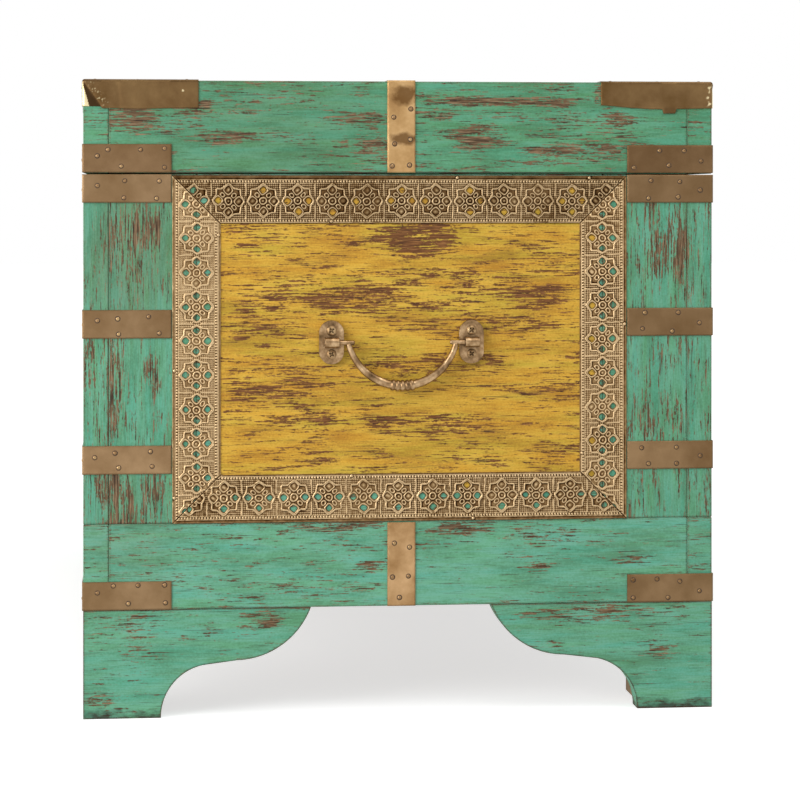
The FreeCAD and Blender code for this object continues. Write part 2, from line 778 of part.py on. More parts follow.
def handle_mount(name, side, middle):
    """A cast plate with round ends and the bored lug in its middle."""
    on_panel = span(side, "half_length", "half_length + mount_thickness")
    half_plate = "(mount_width / 2)"
    straight = f"(mount_length / 2 - {half_plate})"
    bar = block(f"{name}_plate", on_panel, around(middle, "mount_width"),
                around("handle_height", f"2 * {straight}"))
    low, high = on_panel
    ends = [rod(f"{name}_round_{number}", "X", (low, high), middle,
                f"handle_height + {sign} * {straight}", half_plate)
            for number, sign in enumerate(SIDES, start=1)]
    lug_x = span(side, "half_length", "half_length + bail_standoff")
    lug = block(f"{name}_lug", lug_x, around(middle, "lug_width"),
                around("handle_height", "2 * lug_radius"))
    nose = rod(f"{name}_nose", "Y", f"{side} * (half_length + bail_standoff)",
               around(middle, "lug_width"), "handle_height", "lug_radius")
    casting = fused(f"{name}_casting", [bar, *ends, lug, nose])
    bore = rod(f"{name}_bore", "Y", f"{side} * (half_length + bail_standoff)",
               around(middle, "2 * lug_width"), "handle_height", "bail_pin_radius + running_clearance")
    return cut(name, casting, bore)


RINGS = 5


def bail(name, side):
    """A round bow with a pin at each end and a turned collar in its middle."""
    axis_x = f"{side} * (half_length + bail_standoff)"
    turn = FreeCAD.Rotation(FreeCAD.Vector(0, 1, 0), 90)
    bow = document.addObject("Part::Torus", f"{name}_bow")
    half_angle = "asin(bail_half_width / bail_radius)"
    bind(bow, "Radius1", "bail_radius")
    bind(bow, "Radius2", "bail_rod_radius")
    bind(bow, "Angle3", f"2 * {half_angle}")
    place(bow, axis_x, "0", "bail_centre_height", turn)
    bow.Placement.Rotation = turn * FreeCAD.Rotation(FreeCAD.Vector(0, 0, 1), -value(half_angle))
    pieces = [bow]
    for sign in SIDES:
        elbow = document.addObject("Part::Sphere", f"{name}_elbow_{sign + 2}")
        bind(elbow, "Radius", "bail_rod_radius")
        place(elbow, axis_x, f"{sign} * bail_half_width", "handle_height")
        reach = span(sign, "bail_half_width", "handle_half_spread + lug_width / 2")
        pieces += [elbow, rod(f"{name}_pin_{sign + 2}", "Y", axis_x, reach, "handle_height",
                              "bail_pin_radius")]
    pieces.append(rod(f"{name}_collar", "Y", axis_x, around("0", "bail_collar_length"),
                      "handle_height - bail_drop", "bail_collar_radius"))
    for index in range(RINGS):
        share = index / (RINGS - 1) - 0.5
        ring = document.addObject("Part::Torus", f"{name}_ring_{index + 1}")
        ring_rod = f"(bail_collar_length / (2 * {RINGS}))"
        bind(ring, "Radius1", f"bail_ring_radius - {ring_rod}")
        bind(ring, "Radius2", ring_rod)
        place(ring, axis_x, f"{share} * (bail_collar_length - 2 * {ring_rod})",
              "handle_height - bail_drop", ALONG_Y)
        pieces.append(ring)
    return fused(name, pieces)


for side in SIDES:
    end = SIDE_NAMES[side]
    mounts = [handle_mount(f"{end}_handle_mount_{number}", side, f"{sign} * handle_half_spread")
              for number, sign in enumerate(SIDES, start=1)]
    node(together(f"{end}_handle_mounts", mounts), f"{end}_handle_mounts")
    node(bail(f"{end}_bail", side), f"{end}_bail")


# The stop hinges at the back. The lid's knuckle has a heel that meets the other leaf when the
# lid is fully open.

def knuckles(name, axis_y, axis_z, stretches, radius, web):
    """Barrel pieces over some stretches of a hinge line, each with its web to the leaf."""
    pieces = []
    for number, stretch in enumerate(stretches, start=1):
        pieces.append(rod(f"{name}_barrel_{number}", "X", stretch, axis_y, axis_z, radius))
        pieces.append(block(f"{name}_web_{number}", stretch, *web))
    return pieces


def hinge(number, middle):
    """The two leaves and the pin of one hinge."""
    axis_y, axis_z = "hinge_axis_depth", "hinge_axis_height"
    third = "(hinge_length / 6)"
    ends = [(f"{middle} - hinge_length / 2", f"{middle} - {third} - knuckle_gap / 2"),
            (f"{middle} + {third} + knuckle_gap / 2", f"{middle} + hinge_length / 2")]
    centre = [(f"{middle} - {third} + knuckle_gap / 2", f"{middle} + {third} - knuckle_gap / 2")]
    thick = ("half_depth", "half_depth + hinge_leaf")
    clear = "(hinge_knuckle_radius + knuckle_gap)"
    leaves = {}
    for part, sign, stretches in (("body", -1, ends), ("lid", 1, centre)):
        name = f"hinge_{number}_{part}_leaf"
        edge, far = f"{axis_z} + {sign} * {clear}", f"{axis_z} + {sign} * hinge_leaf_height"
        sheet_z = (edge, far) if sign > 0 else (far, edge)
        web_z = (axis_z, edge) if sign > 0 else (edge, axis_z)
        pieces = [block(f"{name}_sheet", around(middle, "hinge_length"), thick, sheet_z)]
        pieces += knuckles(name, axis_y, axis_z, stretches, "hinge_knuckle_radius", (thick, web_z))
        if part == "lid":
            pieces.append(heel(f"{name}_heel", centre[0], axis_y, axis_z))
        bore = rod(f"{name}_bore", "X", around(middle, "2 * hinge_length"), axis_y, axis_z,
                   "hinge_pin_radius + running_clearance")
        leaves[part] = cut(name, fused(f"{name}_blank", pieces), bore)
    shank = rod(f"hinge_{number}_shank", "X", around(middle, "hinge_length"), axis_y, axis_z,
                "hinge_pin_radius")
    heads = [rod(f"hinge_{number}_head_{index}", "X",
                 span(sign, f"{sign} * ({middle}) + hinge_length / 2",
                      f"{sign} * ({middle}) + hinge_length / 2 + pin_head"),
                 axis_y, axis_z, "pin_head_radius") for index, sign in enumerate(SIDES, start=1)]
    leaves["pin"] = fused(f"hinge_{number}_pin", [shank, *heads])
    return leaves


def heel(name, stretch, axis_y, axis_z):
    """The stop heel, drawn where it meets the body's leaf and turned back by the lid's travel."""
    near = "(hinge_leaf + heel_clearance - hinge_standoff)"
    tab = block(name, stretch, ("0", "heel_thickness"), ("0", "heel_reach"))
    tab.Placement.Rotation = FreeCAD.Rotation(FreeCAD.Vector(1, 0, 0), value("lid_stop_angle"))
    bind(tab, "Placement.Rotation.Angle", "lid_stop_angle")
    bind(tab, "Placement.Base.y",
         f"{axis_y} + {near} * cos(lid_stop_angle) + heel_reach * sin(lid_stop_angle)")
    bind(tab, "Placement.Base.z",
         f"{axis_z} + {near} * sin(lid_stop_angle) - heel_reach * cos(lid_stop_angle)")
    return tab


hinges = [hinge(number, f"{side} * hinge_place") for number, side in enumerate(SIDES, start=1)]
for part, name in (("body", "hinge_body_leaves"), ("lid", "hinge_lid_leaves"), ("pin", "hinge_pins")):
    node(together(name, [leaves[part] for leaves in hinges]), name)


# The hasp turns up from the body over the staple on the lid, where a padlock would go.

hasp_y, hasp_z = "-hasp_axis_depth", "hasp_axis_height"
half_knuckle = "(hasp_knuckle_length / 2)"
clear = "(hasp_knuckle_radius + knuckle_gap)"
plate_y = span(-1, "half_depth", "half_depth + hasp_sheet")
outer_stretches = [("-hasp_plate_width / 2", f"-{half_knuckle} - knuckle_gap"),
                   (f"{half_knuckle} + knuckle_gap", "hasp_plate_width / 2")]
hasp_sheet_piece = block("hasp_plate_sheet", around("0", "hasp_plate_width"), plate_y,
                         (f"{hasp_z} - {clear} - hasp_plate_height", f"{hasp_z} - {clear}"))
hasp_webs = knuckles("hasp_plate", hasp_y, hasp_z, outer_stretches, "hasp_knuckle_radius",
                     (plate_y, (f"{hasp_z} - {clear}", hasp_z)))
hasp_bore = rod("hasp_plate_bore", "X", around("0", "2 * hasp_plate_width"), hasp_y, hasp_z,
                "hasp_pin_radius + running_clearance")
hasp_plate = cut("hasp_plate", fused("hasp_plate_blank", [hasp_sheet_piece, *hasp_webs]), hasp_bore)
node(hasp_plate, "hasp_plate")

leaf_y = (f"{hasp_y} - hasp_leaf_offset - hasp_sheet", f"{hasp_y} - hasp_leaf_offset")
tip = f"{hasp_z} - hasp_leaf_length"
half_leaf = "(hasp_leaf_width / 2)"
leaf_points = [(f"-{half_leaf}", f"{hasp_z} - {clear}"),
               (f"-{half_leaf}", f"{tip} + {half_leaf}"),
               ("0", tip, half_leaf, f"{tip} + {half_leaf}"),
               (half_leaf, f"{hasp_z} - {clear}")]
leaf_sheet = plate("hasp_leaf_sheet", "XZ", leaf_points, *leaf_y)
leaf_knuckle = knuckles("hasp_leaf", hasp_y, hasp_z, [around("0", "hasp_knuckle_length")],
                        "hasp_knuckle_radius", (leaf_y, (f"{hasp_z} - {clear}", hasp_z)))
slot = block("hasp_leaf_slot", around("0", "staple_tab + 2 * slot_clearance"),
             (f"{leaf_y[0]} - hasp_sheet", f"{leaf_y[1]} + hasp_sheet"),
             around(f"{hasp_z} - hasp_reach", "2 * staple_tab_radius + 2 * slot_clearance"))
leaf_bore = rod("hasp_leaf_bore", "X", around("0", "2 * hasp_knuckle_length"), hasp_y, hasp_z,
                "hasp_pin_radius + running_clearance")
hasp_leaf = cut("hasp_leaf", fused("hasp_leaf_blank", [leaf_sheet, *leaf_knuckle]),
                together("hasp_leaf_openings", [slot, leaf_bore]))
node(hasp_leaf, "hasp_leaf")

hasp_heads = [rod(f"hasp_pin_head_{index}", "X",
                  span(sign, "hasp_plate_width / 2", "hasp_plate_width / 2 + pin_head"),
                  hasp_y, hasp_z, "hasp_knuckle_radius") for index, sign in enumerate(SIDES, start=1)]
hasp_shank = rod("hasp_pin_shank", "X", around("0", "hasp_plate_width"), hasp_y, hasp_z,
                 "hasp_pin_radius")
node(fused("hasp_pin", [hasp_shank, *hasp_heads]), "hasp_pin")

eye_y = "-half_depth - staple_eye_standoff"
staple_plate = block("staple_plate", around("0", "staple_plate_width"), plate_y,
                     around("staple_middle", "staple_plate_height"))
tab_bar = block("staple_tab", around("0", "staple_tab"), (eye_y, "-half_depth"),
                around("staple_middle", "2 * staple_tab_radius"))
tab_round = rod("staple_round", "X", around("0", "staple_tab"), eye_y, "staple_middle",
                "staple_tab_radius")
eye = rod("staple_eye", "X", around("0", "2 * staple_tab"), eye_y, "staple_middle",
          "staple_eye_radius")
node(cut("lid_staple", fused("staple_blank", [staple_plate, tab_bar, tab_round]), eye), "lid_staple")


# The screws of the handles, hinges and hasp: round heads with a cross slot

screw_slot_share = 1.25


def screw(name, radius, rise):
    """A round screw head that stands on the XY plane, with a cross cut in its crown."""
    head = dome(f"{name}_dome", radius, rise)
    deep = (f"{rise} / 2", f"{rise} * 2")
    length, width = f"{radius} * {screw_slot_share}", "screw_slot_width"
    bars = [block(f"{name}_long_slot", around("0", length), around("0", width), deep),
            block(f"{name}_cross_slot", around("0", width), around("0", length), deep)]
    return cut(name, head, together(f"{name}_cross", bars))


handle_screw = screw("handle_screw", "screw_radius", "screw_dome")
small_screw = screw("small_screw", "small_screw_radius", "small_screw_dome")
hinge_screw_shares = (-0.36, 0, 0.36)
hasp_screw_share = 0.34
staple_screw_share = 0.39

handle_places = []
for side in SIDES:
    for sign in SIDES:
        for up in SIDES:
            handle_places.append(on_face("X", side, sign * value("handle_half_spread"),
                                         value("handle_height") + up * value("mount_screw_offset"),
                                         "mount_thickness"))


def leaf_screw_places(sign):
    """The screws of both hinges' leaves below (-1) or above (+1) the hinge line."""
    height = value(f"hinge_axis_height + {sign} * "
                   "(hinge_leaf_height + hinge_knuckle_radius + knuckle_gap) / 2")
    return [on_face("Y", 1, side * value("hinge_place") + share * value("hinge_length"), height,
                    "hinge_leaf")
            for side in SIDES for share in hinge_screw_shares]


body_small = leaf_screw_places(-1)
lid_small = leaf_screw_places(1)
hasp_screw_height = value("hasp_axis_height - hasp_knuckle_radius - knuckle_gap"
                          " - hasp_plate_height / 2")
for sign in SIDES:
    body_small.append(on_face("Y", -1, sign * hasp_screw_share * value("hasp_plate_width"),
                              hasp_screw_height, "hasp_sheet"))
    lid_small.append(on_face("Y", -1, sign * staple_screw_share * value("staple_plate_width"),
                             value("staple_middle"), "hasp_sheet"))
node(scattered("body_screws", [(handle_screw, handle_places), (small_screw, body_small)]),
     "body_screws")
node(scattered("lid_screws", [(small_screw, lid_small)]), "lid_screws")


# Every object and every node is looked at before any file is written.

document.recompute()
for thing in document.Objects:
    if "Invalid" in thing.State or "Error" in thing.State:
        raise RuntimeError(f"{thing.Label} could not be made")
for name, thing in nodes.items():
    if thing.Shape.isNull() or not thing.Shape.isValid():
        raise RuntimeError(f"{name} has no sound shape")

os.makedirs("parts", exist_ok=True)
for name, thing in nodes.items():
    thing.Shape.exportStep(f"parts/{name}.step")
    print(f"{name}: {len(thing.Shape.Solids)} solids, {thing.Shape.Volume:.0f} mm3")
print(f"{len(nodes)} nodes")
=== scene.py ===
# %% [markdown]
# # A brass-bound dowry chest
#
# The chest is a box of painted boards with brass sheet nailed over its joints. Its boards,
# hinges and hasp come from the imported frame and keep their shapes, so most of the work on the
# wood is in its paint. The brass is different: embossed sheet, dented straps, folded caps and
# nail heads owe their look to small relief, so those are modelled again here over the plain
# solids that stand for them.

# %% Load the frame
import math

import bmesh
import bpy
import numpy as np
from mathutils import Matrix, Vector


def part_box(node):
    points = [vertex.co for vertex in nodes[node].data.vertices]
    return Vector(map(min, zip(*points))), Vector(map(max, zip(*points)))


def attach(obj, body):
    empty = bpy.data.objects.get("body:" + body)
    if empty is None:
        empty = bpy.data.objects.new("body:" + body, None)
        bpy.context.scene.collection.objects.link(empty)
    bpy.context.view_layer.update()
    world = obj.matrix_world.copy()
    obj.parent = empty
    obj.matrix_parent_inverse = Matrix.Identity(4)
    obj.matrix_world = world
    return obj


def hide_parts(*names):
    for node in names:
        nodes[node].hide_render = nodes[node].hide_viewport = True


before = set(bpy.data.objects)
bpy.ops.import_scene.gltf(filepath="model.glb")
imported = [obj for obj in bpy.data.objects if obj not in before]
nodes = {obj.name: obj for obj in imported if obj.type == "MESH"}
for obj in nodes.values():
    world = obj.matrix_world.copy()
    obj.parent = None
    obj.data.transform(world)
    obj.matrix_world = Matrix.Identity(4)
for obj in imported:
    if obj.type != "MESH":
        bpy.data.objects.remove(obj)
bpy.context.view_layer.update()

# %% [markdown]
# ## Sizes
#
# Blender works in metres and a maker works in millimetres, so every size is written in
# millimetres and brought over by one factor. The few sizes below belong to the whole chest.

# %% The chest's own sizes
MM = 0.001
lid_low, lid_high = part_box("lid_right_board")
HALF_LENGTH = lid_high.x / MM
HALF_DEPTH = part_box("lid_back_board")[1].y / MM
LID_TOP = lid_high.z / MM
INNER_HALF_LENGTH = lid_low.x / MM
INNER_HALF_DEPTH = lid_high.y / MM
FRAME_LOW, FRAME_HIGH = (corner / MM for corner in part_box("right_embossed_frame"))
print(f"half length {HALF_LENGTH:.1f}, half depth {HALF_DEPTH:.1f}, top {LID_TOP:.1f} mm")

# %% [markdown]
# ## Colours and shader nodes
#
# Colours are written as the sRGB hex values that a paint chart would give. Shaders add and
# multiply light, which needs linear values, so one function converts them. A second one adds a
# shader node, sets it up and fills its inputs, with a number or with what another node gives.
# Two more build what most finishes here are made of: a weighted sum, such as that of several
# noises, and coats of colour laid one over another.


# %% Colour and node helpers
def linear(hex_colour):
    """An sRGB hex colour as the linear RGBA that shaders work with."""
    channels = [int(hex_colour[i:i + 2], 16) / 255 for i in (1, 3, 5)]
    return [c / 12.92 if c <= 0.04045 else ((c + 0.055) / 1.055) ** 2.4 for c in channels] + [1.0]


def add(tree, kind, inputs=None, stops=(), **settings):
    """Adds one shader node with its settings; an input takes a value, a socket or a node.

    A colour ramp also takes its stops, each a place and a hex colour."""
    node = tree.nodes.new("ShaderNode" + kind)
    for name, setting in settings.items():
        setattr(node, name, setting)
    for name, given in (inputs or {}).items():
        socket = node.inputs[name] if isinstance(name, int) else next(
            s for s in node.inputs if s.name == name and s.enabled)
        if isinstance(given, bpy.types.Node):
            given = next(s for s in given.outputs if s.enabled)
        if isinstance(given, bpy.types.NodeSocket):
            tree.links.new(given, socket)
        else:
            socket.default_value = given
    if stops:
        elements = node.color_ramp.elements
        while len(elements) < len(stops):
            elements.new(1.0)
        for element, (place, colour) in zip(elements, stops):
            element.position, element.color = place, linear(colour)
    return node


def add_up(tree, total, *terms):
    """A number with every value times its weight added to it."""
    for value, weight in terms:
        total = add(tree, "Math", {0: value, 1: weight, 2: total}, operation="MULTIPLY_ADD")
    return total


def coats(tree, colour, *layers):
    """A colour under coats of others: each has its share, its colour and its way to mix."""
    for share, over, *way in layers:
        colour = add(tree, "Mix", {"Factor": share, "A": colour, "B": over},
                     data_type="RGBA", blend_type=way[0] if way else "MIX")
    return colour


def new_material(name):
    """An empty material and its node tree."""
    material = bpy.data.materials.new(name)
    material.use_nodes = True
    material.node_tree.nodes.clear()
    return material, material.node_tree


# %% [markdown]
# ## Painted boards
#
# The wood is mango, rubbed down and brushed with a flat chalky paint: teal outside, ochre
# yellow on the panels. Years of handling flaked it off along the grain, so bare wood shows in
# bundles of thin streaks, and along every edge. That could be painted on an image, but a
# pattern made of noise follows the boards round their corners and never runs out.
#
# Noise drawn out along the grain gives the streaks. Coarser noise says where they gather, and
# finer noise chips their edges. All are added up, and where the sum passes a limit the paint is
# gone. The grain runs along X, Y or Z by board, so there is one material for each way. Lengths
# are in millimetres: a flake is some 20 mm long and 1.25 mm high, an open pore 15 by 0.85 mm.

# %% Streaks along the grain
AXES = "XYZ"
END_GRAIN = 0.75


def streaks(tree, place, grain, along, across, detail=2.0, ragged=0.6):
    """Noise drawn out along the grain, of a length and width in millimetres."""
    scale = [1 / (across * MM)] * 3
    scale[AXES.index(grain)] = 1 / (along * MM)
    stretched = add(tree, "VectorMath", {0: place, 1: scale}, operation="MULTIPLY")
    return add(tree, "TexNoise",
               {"Vector": stretched, "Scale": 1.0, "Detail": detail, "Roughness": ragged})


def facing(tree):
    """How much the surface faces along each of the chest's own axes, from 0 to 1."""
    normal = add(tree, "VectorTransform", {0: add(tree, "NewGeometry").outputs["True Normal"]},
                 vector_type="NORMAL", convert_from="WORLD", convert_to="OBJECT")
    return add(tree, "SeparateXYZ", {
        0: add(tree, "VectorMath", {0: normal}, operation="ABSOLUTE")}).outputs


def board_place(tree, grain=None):
    """Where a point is in the chest, and the same shifted by board so that no two match.

    On a face that looks along the grain, X and Y change places in the shifted one, so that
    its streaks are long there too."""
    place = add(tree, "TexCoord").outputs["Object"]
    shift = add(tree, "Attribute", attribute_type="OBJECT", attribute_name="board_shift")
    shifted = add(tree, "VectorMath", {0: place, 1: shift.outputs["Vector"]}, operation="ADD")
    if grain in ("X", "Y"):
        apart = add(tree, "SeparateXYZ", {0: shifted})
        turned = add(tree, "CombineXYZ", {
            "X": apart.outputs["Y"], "Y": apart.outputs["X"], "Z": apart.outputs["Z"]})
        ended = add(tree, "Math", {0: facing(tree)[grain], 1: END_GRAIN},
                    operation="GREATER_THAN")
        shifted = add(tree, "Mix", {"Factor": ended, "A": shifted, "B": turned},
                      data_type="VECTOR")
    return place, shifted


# %% [markdown]
# Some streaks are where hands and knocks rubbed the right end, and those are placed one by one.
# Each is an ellipse given by its middle and half size in pixels of the photograph, with how
# much it adds to the wear. The end face is flat and nearly square to the camera, so a
# pixel there goes to a height and a depth by straight proportion.

# %% Rubbed places on the right end
END_LEFT_PIXEL, END_RIGHT_PIXEL = 83.5, 711.0
END_TOP_PIXELS, END_BOTTOM_PIXELS = (79.6, 82.5), (719.1, 707.4)


def on_right_end(pixel_x, pixel_y):
    """The depth and height in millimetres of a pixel on the right end."""
    share = (pixel_x - END_LEFT_PIXEL) / (END_RIGHT_PIXEL - END_LEFT_PIXEL)
    top = END_TOP_PIXELS[0] + share * (END_TOP_PIXELS[1] - END_TOP_PIXELS[0])
    bottom = END_BOTTOM_PIXELS[0] + share * (END_BOTTOM_PIXELS[1] - END_BOTTOM_PIXELS[0])
    return (2 * share - 1) * HALF_DEPTH, LID_TOP * (bottom - pixel_y) / (bottom - top)


# How much the strengths count, how far a place fades beyond its ellipse, and how far it reaches
# into the end in millimetres.
SPOT_GAIN, SPOT_SPREAD, SPOT_DEPTH = 0.85, 1.3, 60
RUBBED_ALONG_Y = [
    (492, 101, 86, 5, 0.24), (220, 138, 38, 6, 0.2), (355, 118, 40, 6, 0.2),
    (372, 148, 20, 14, 0.12), (474, 136, 28, 14, 0.19), (575, 151, 56, 9, 0.17),
    (618, 119, 16, 7, 0.18), (138, 116, 20, 6, 0.14), (150, 120, 60, 14, 0.09),
    (597, 93, 7, 10, 0.2), (203, 103, 8, 5, 0.2), (525, 132, 110, 40, 0.05),
    (338, 526, 52, 6, 0.18), (371, 566, 20, 6, 0.17), (358, 588, 32, 6, 0.15),
    (448, 530, 34, 8, 0.15), (520, 533, 26, 5, 0.14), (622, 560, 20, 5, 0.17),
    (532, 567, 16, 10, 0.12), (254, 621, 24, 12, 0.25), (141, 620, 22, 26, 0.1),
    (140, 655, 26, 8, 0.14), (588, 613, 56, 12, 0.14), (660, 646, 18, 12, 0.16),
    (100, 700, 16, 8, 0.16),
]
RUBBED_ALONG_Z = [
    (132, 240, 28, 42, 0.13), (145, 230, 12, 20, 0.09), (115, 390, 8, 56, 0.2),
    (150, 376, 10, 22, 0.19), (89, 360, 7, 26, 0.15), (110, 488, 14, 20, 0.2),
    (155, 486, 12, 16, 0.24), (117, 535, 15, 22, 0.17), (662, 246, 32, 42, 0.08),
    (682, 247, 8, 22, 0.15), (654, 258, 10, 22, 0.1), (667, 350, 18, 22, 0.09),
    (658, 420, 30, 24, 0.05), (680, 480, 6, 14, 0.12), (130, 528, 34, 50, 0.08),
]
RUBBED_PANEL = [
    (415, 240, 40, 18, 0.27), (240, 236, 20, 14, 0.09), (275, 264, 80, 36, 0.035),
    (380, 279, 30, 14, 0.07), (550, 258, 30, 20, 0.06), (532, 295, 32, 12, 0.13),
    (258, 322, 38, 24, 0.1), (455, 282, 76, 16, 0.1), (480, 345, 60, 30, 0.03),
    (370, 302, 76, 16, 0.15), (518, 325, 36, 12, 0.1), (405, 363, 54, 9, 0.16),
    (400, 332, 60, 8, 0.08), (270, 385, 48, 18, 0.07), (540, 388, 38, 14, 0.09),
    (302, 420, 32, 7, 0.12), (415, 424, 70, 12, 0.2), (295, 458, 36, 14, 0.13),
    (545, 451, 34, 12, 0.08),
]
# Where the paint is darker and duller: the left stile and the left half of the lid.
DULL_PLACES = [
    (128, 252, 50, 74, 1.15), (128, 530, 50, 56, 0.6), (262, 128, 130, 60, 0.65),
]


def spot(tree, place, middle, size):
    """1 in the middle of an ellipsoid given in millimetres, falling to 0 at its surface."""
    inside = add(tree, "Mapping", {"Vector": place, "Location": [x * MM for x in middle],
                                   "Scale": [x * MM for x in size]}, vector_type="TEXTURE")
    return add(tree, "TexGradient", {"Vector": inside}, gradient_type="SPHERICAL").outputs["Fac"]


def rubbed(tree, place, spots, amount):
    """Adds what each place on the right end gives to an amount, such as the wear."""
    for pixel_x, pixel_y, half_width, half_height, strength in spots:
        y, z = on_right_end(pixel_x, pixel_y)
        reach_y = on_right_end(pixel_x + half_width, 0)[0] - y
        reach_z = z - on_right_end(pixel_x, pixel_y + half_height)[1]
        inside = spot(tree, place, (HALF_LENGTH, y, z),
                      (SPOT_DEPTH, SPOT_SPREAD * reach_y, SPOT_SPREAD * reach_z))
        flat = add(tree, "Math", {0: inside, 1: 2.0}, operation="MULTIPLY", use_clamp=True)
        amount = add_up(tree, amount, (flat, SPOT_GAIN * strength))
    return amount


print(len(RUBBED_ALONG_Y) + len(RUBBED_ALONG_Z) + len(RUBBED_PANEL), "rubbed places")

# %% [markdown]
# ### Where the paint is gone
#
# The wear is a sum of the streaks, the chips along them, the places where they gather, the
# rubbed places and the edges. An edge is found by the Bevel node: near one, the normal that it
# gives leans away from the true one, however the board is shaped. Each board also carries its
# own share of wear as a property, which the Attribute node reads.


# %% Wear
def near_edge(tree, radius):
    """The normal rounded over every edge by a radius, and how well it agrees with the true one."""
    rounded = add(tree, "Bevel", {"Radius": radius * MM}, samples=6)
    true = add(tree, "NewGeometry").outputs["True Normal"]
    lean = add(tree, "VectorMath", {0: rounded, 1: true}, operation="DOT_PRODUCT")
    return rounded, lean.outputs["Value"]


def worn_amount(tree, place, shifted, grain, spots):
    """How worn each point is, where the wear gathers, and how near an edge it is."""
    flakes = streaks(tree, shifted, grain, 20, 1.25, 4.0, 0.7)
    chips = streaks(tree, shifted, grain, 2.6, 1.4, 2.0)
    bundles = streaks(tree, shifted, grain, 40, 5.5, 3.0, 0.6)
    gathered = streaks(tree, shifted, grain, 100, 26)
    wear = add(tree, "Attribute", attribute_type="OBJECT", attribute_name="board_wear")
    amount = add_up(tree, -0.3, (flakes, 1.2), (chips, 0.4), (bundles, 0.5), (gathered, 0.33),
                    (wear.outputs["Fac"], 1.0))
    amount = rubbed(tree, place, spots, amount)
    edge = add(tree, "MapRange", {"Value": near_edge(tree, 2.4)[1], "From Min": 0.995,
                                  "From Max": 0.9})
    return add_up(tree, amount, (edge, 0.3)), bundles, edge


# %% [markdown]
# ### The paint itself
#
# Chalk paint is flat: roughness 0.6 and no clear coat. It has no even colour either, because
# it lies thicker in the grain and was wiped while wet. Three tones from deep to pale follow
# long soft streaks and a fine chalky grain, and a faint tint drifts over them. Bare mango under
# it is a grey brown with lighter lines. The relief is the paint's own thickness and the pores
# of the wood, some 0.35 mm in all.

# %% Colours of the paint
# The tones of the paint, the tints that drift over it (where it yellowed, where it was brushed
# thin and between) and the tones of the wood under it.
TEAL = (("#5a9373", "#67a789", "#72b39a"), ("#fbfff0", "#ffffff", "#e4fdff"),
        ("#35261a", "#6a5239", "#957b5e"))
OCHRE = (("#b8882b", "#cfa135", "#ddb343"), ("#eaf6e4", "#ffffff", "#fff6e6"),
         ("#4a2c15", "#704522", "#99693a"))
PLANED = ((0.5, "#6b543d"), (0.7, "#8d7353"), (0.9, "#a98e6c"))
# The third colour is dark, for dirt and also for painted shade in corners and in the seam under
# the lid.
AGED, DULLED, DIRT_AND_SHADE, CRACK = "#c2d3b4", "#f8dfd8", "#261f16", "#3a2d1f"
# The values of the noises that give the first and the last tone.
BROAD, FINE = (0.78, 1.12), (0.36, 0.64)
WORN_LIMIT = 1.062
# The line between lid and chest, where the gap's shadow is painted dark on the boards, and how
# far up the feet the floor's dirt goes.
SEAM_HEIGHT, SEAM_REACH = 384.2, 1.4
FLOOR_DIRT = 17


def three_tones(tree, value, low, high, tones):
    """A dark, a middle and a pale tone, from a low to a high value."""
    share = add(tree, "MapRange", {"Value": value, "From Min": low, "From Max": high})
    return add(tree, "ValToRGB", {"Fac": share}, tuple(zip((0.0, 0.5, 1.0), tones)))


# %% [markdown]
# ### Two colours on one panel
#
# The painter coloured the panel before the embossed strips were nailed on, and not to a line.
# The yellow stops somewhere under the strips, so their pierced holes show teal in some places
# and yellow in others. The limits of the yellow are given to each panel as two points, and a
# little noise makes the brush's edge.


# %% The yellow area of a panel
def yellow_area(tree, place):
    """1 inside the box whose middle and half size the panel carries."""
    middle, half = (add(tree, "Attribute", attribute_type="OBJECT", attribute_name=name)
                    .outputs["Vector"] for name in ("yellow_middle", "yellow_half"))
    away = add(tree, "VectorMath", {0: place, 1: middle}, operation="SUBTRACT")
    away = add(tree, "VectorMath", {0: away}, operation="ABSOLUTE")
    past_edge = add(tree, "SeparateXYZ", {
        0: add(tree, "VectorMath", {0: away, 1: half}, operation="SUBTRACT")}).outputs
    farthest = past_edge["X"]
    for axis in "YZ":
        farthest = add(tree, "Math", {0: farthest, 1: past_edge[axis]}, operation="MAXIMUM")
    ragged = add_up(tree, farthest, (streaks(tree, place, "Y", 6, 2), 4 * MM))
    return add(tree, "MapRange", {"Value": ragged, "From Min": 2.4 * MM, "From Max": 1.6 * MM})
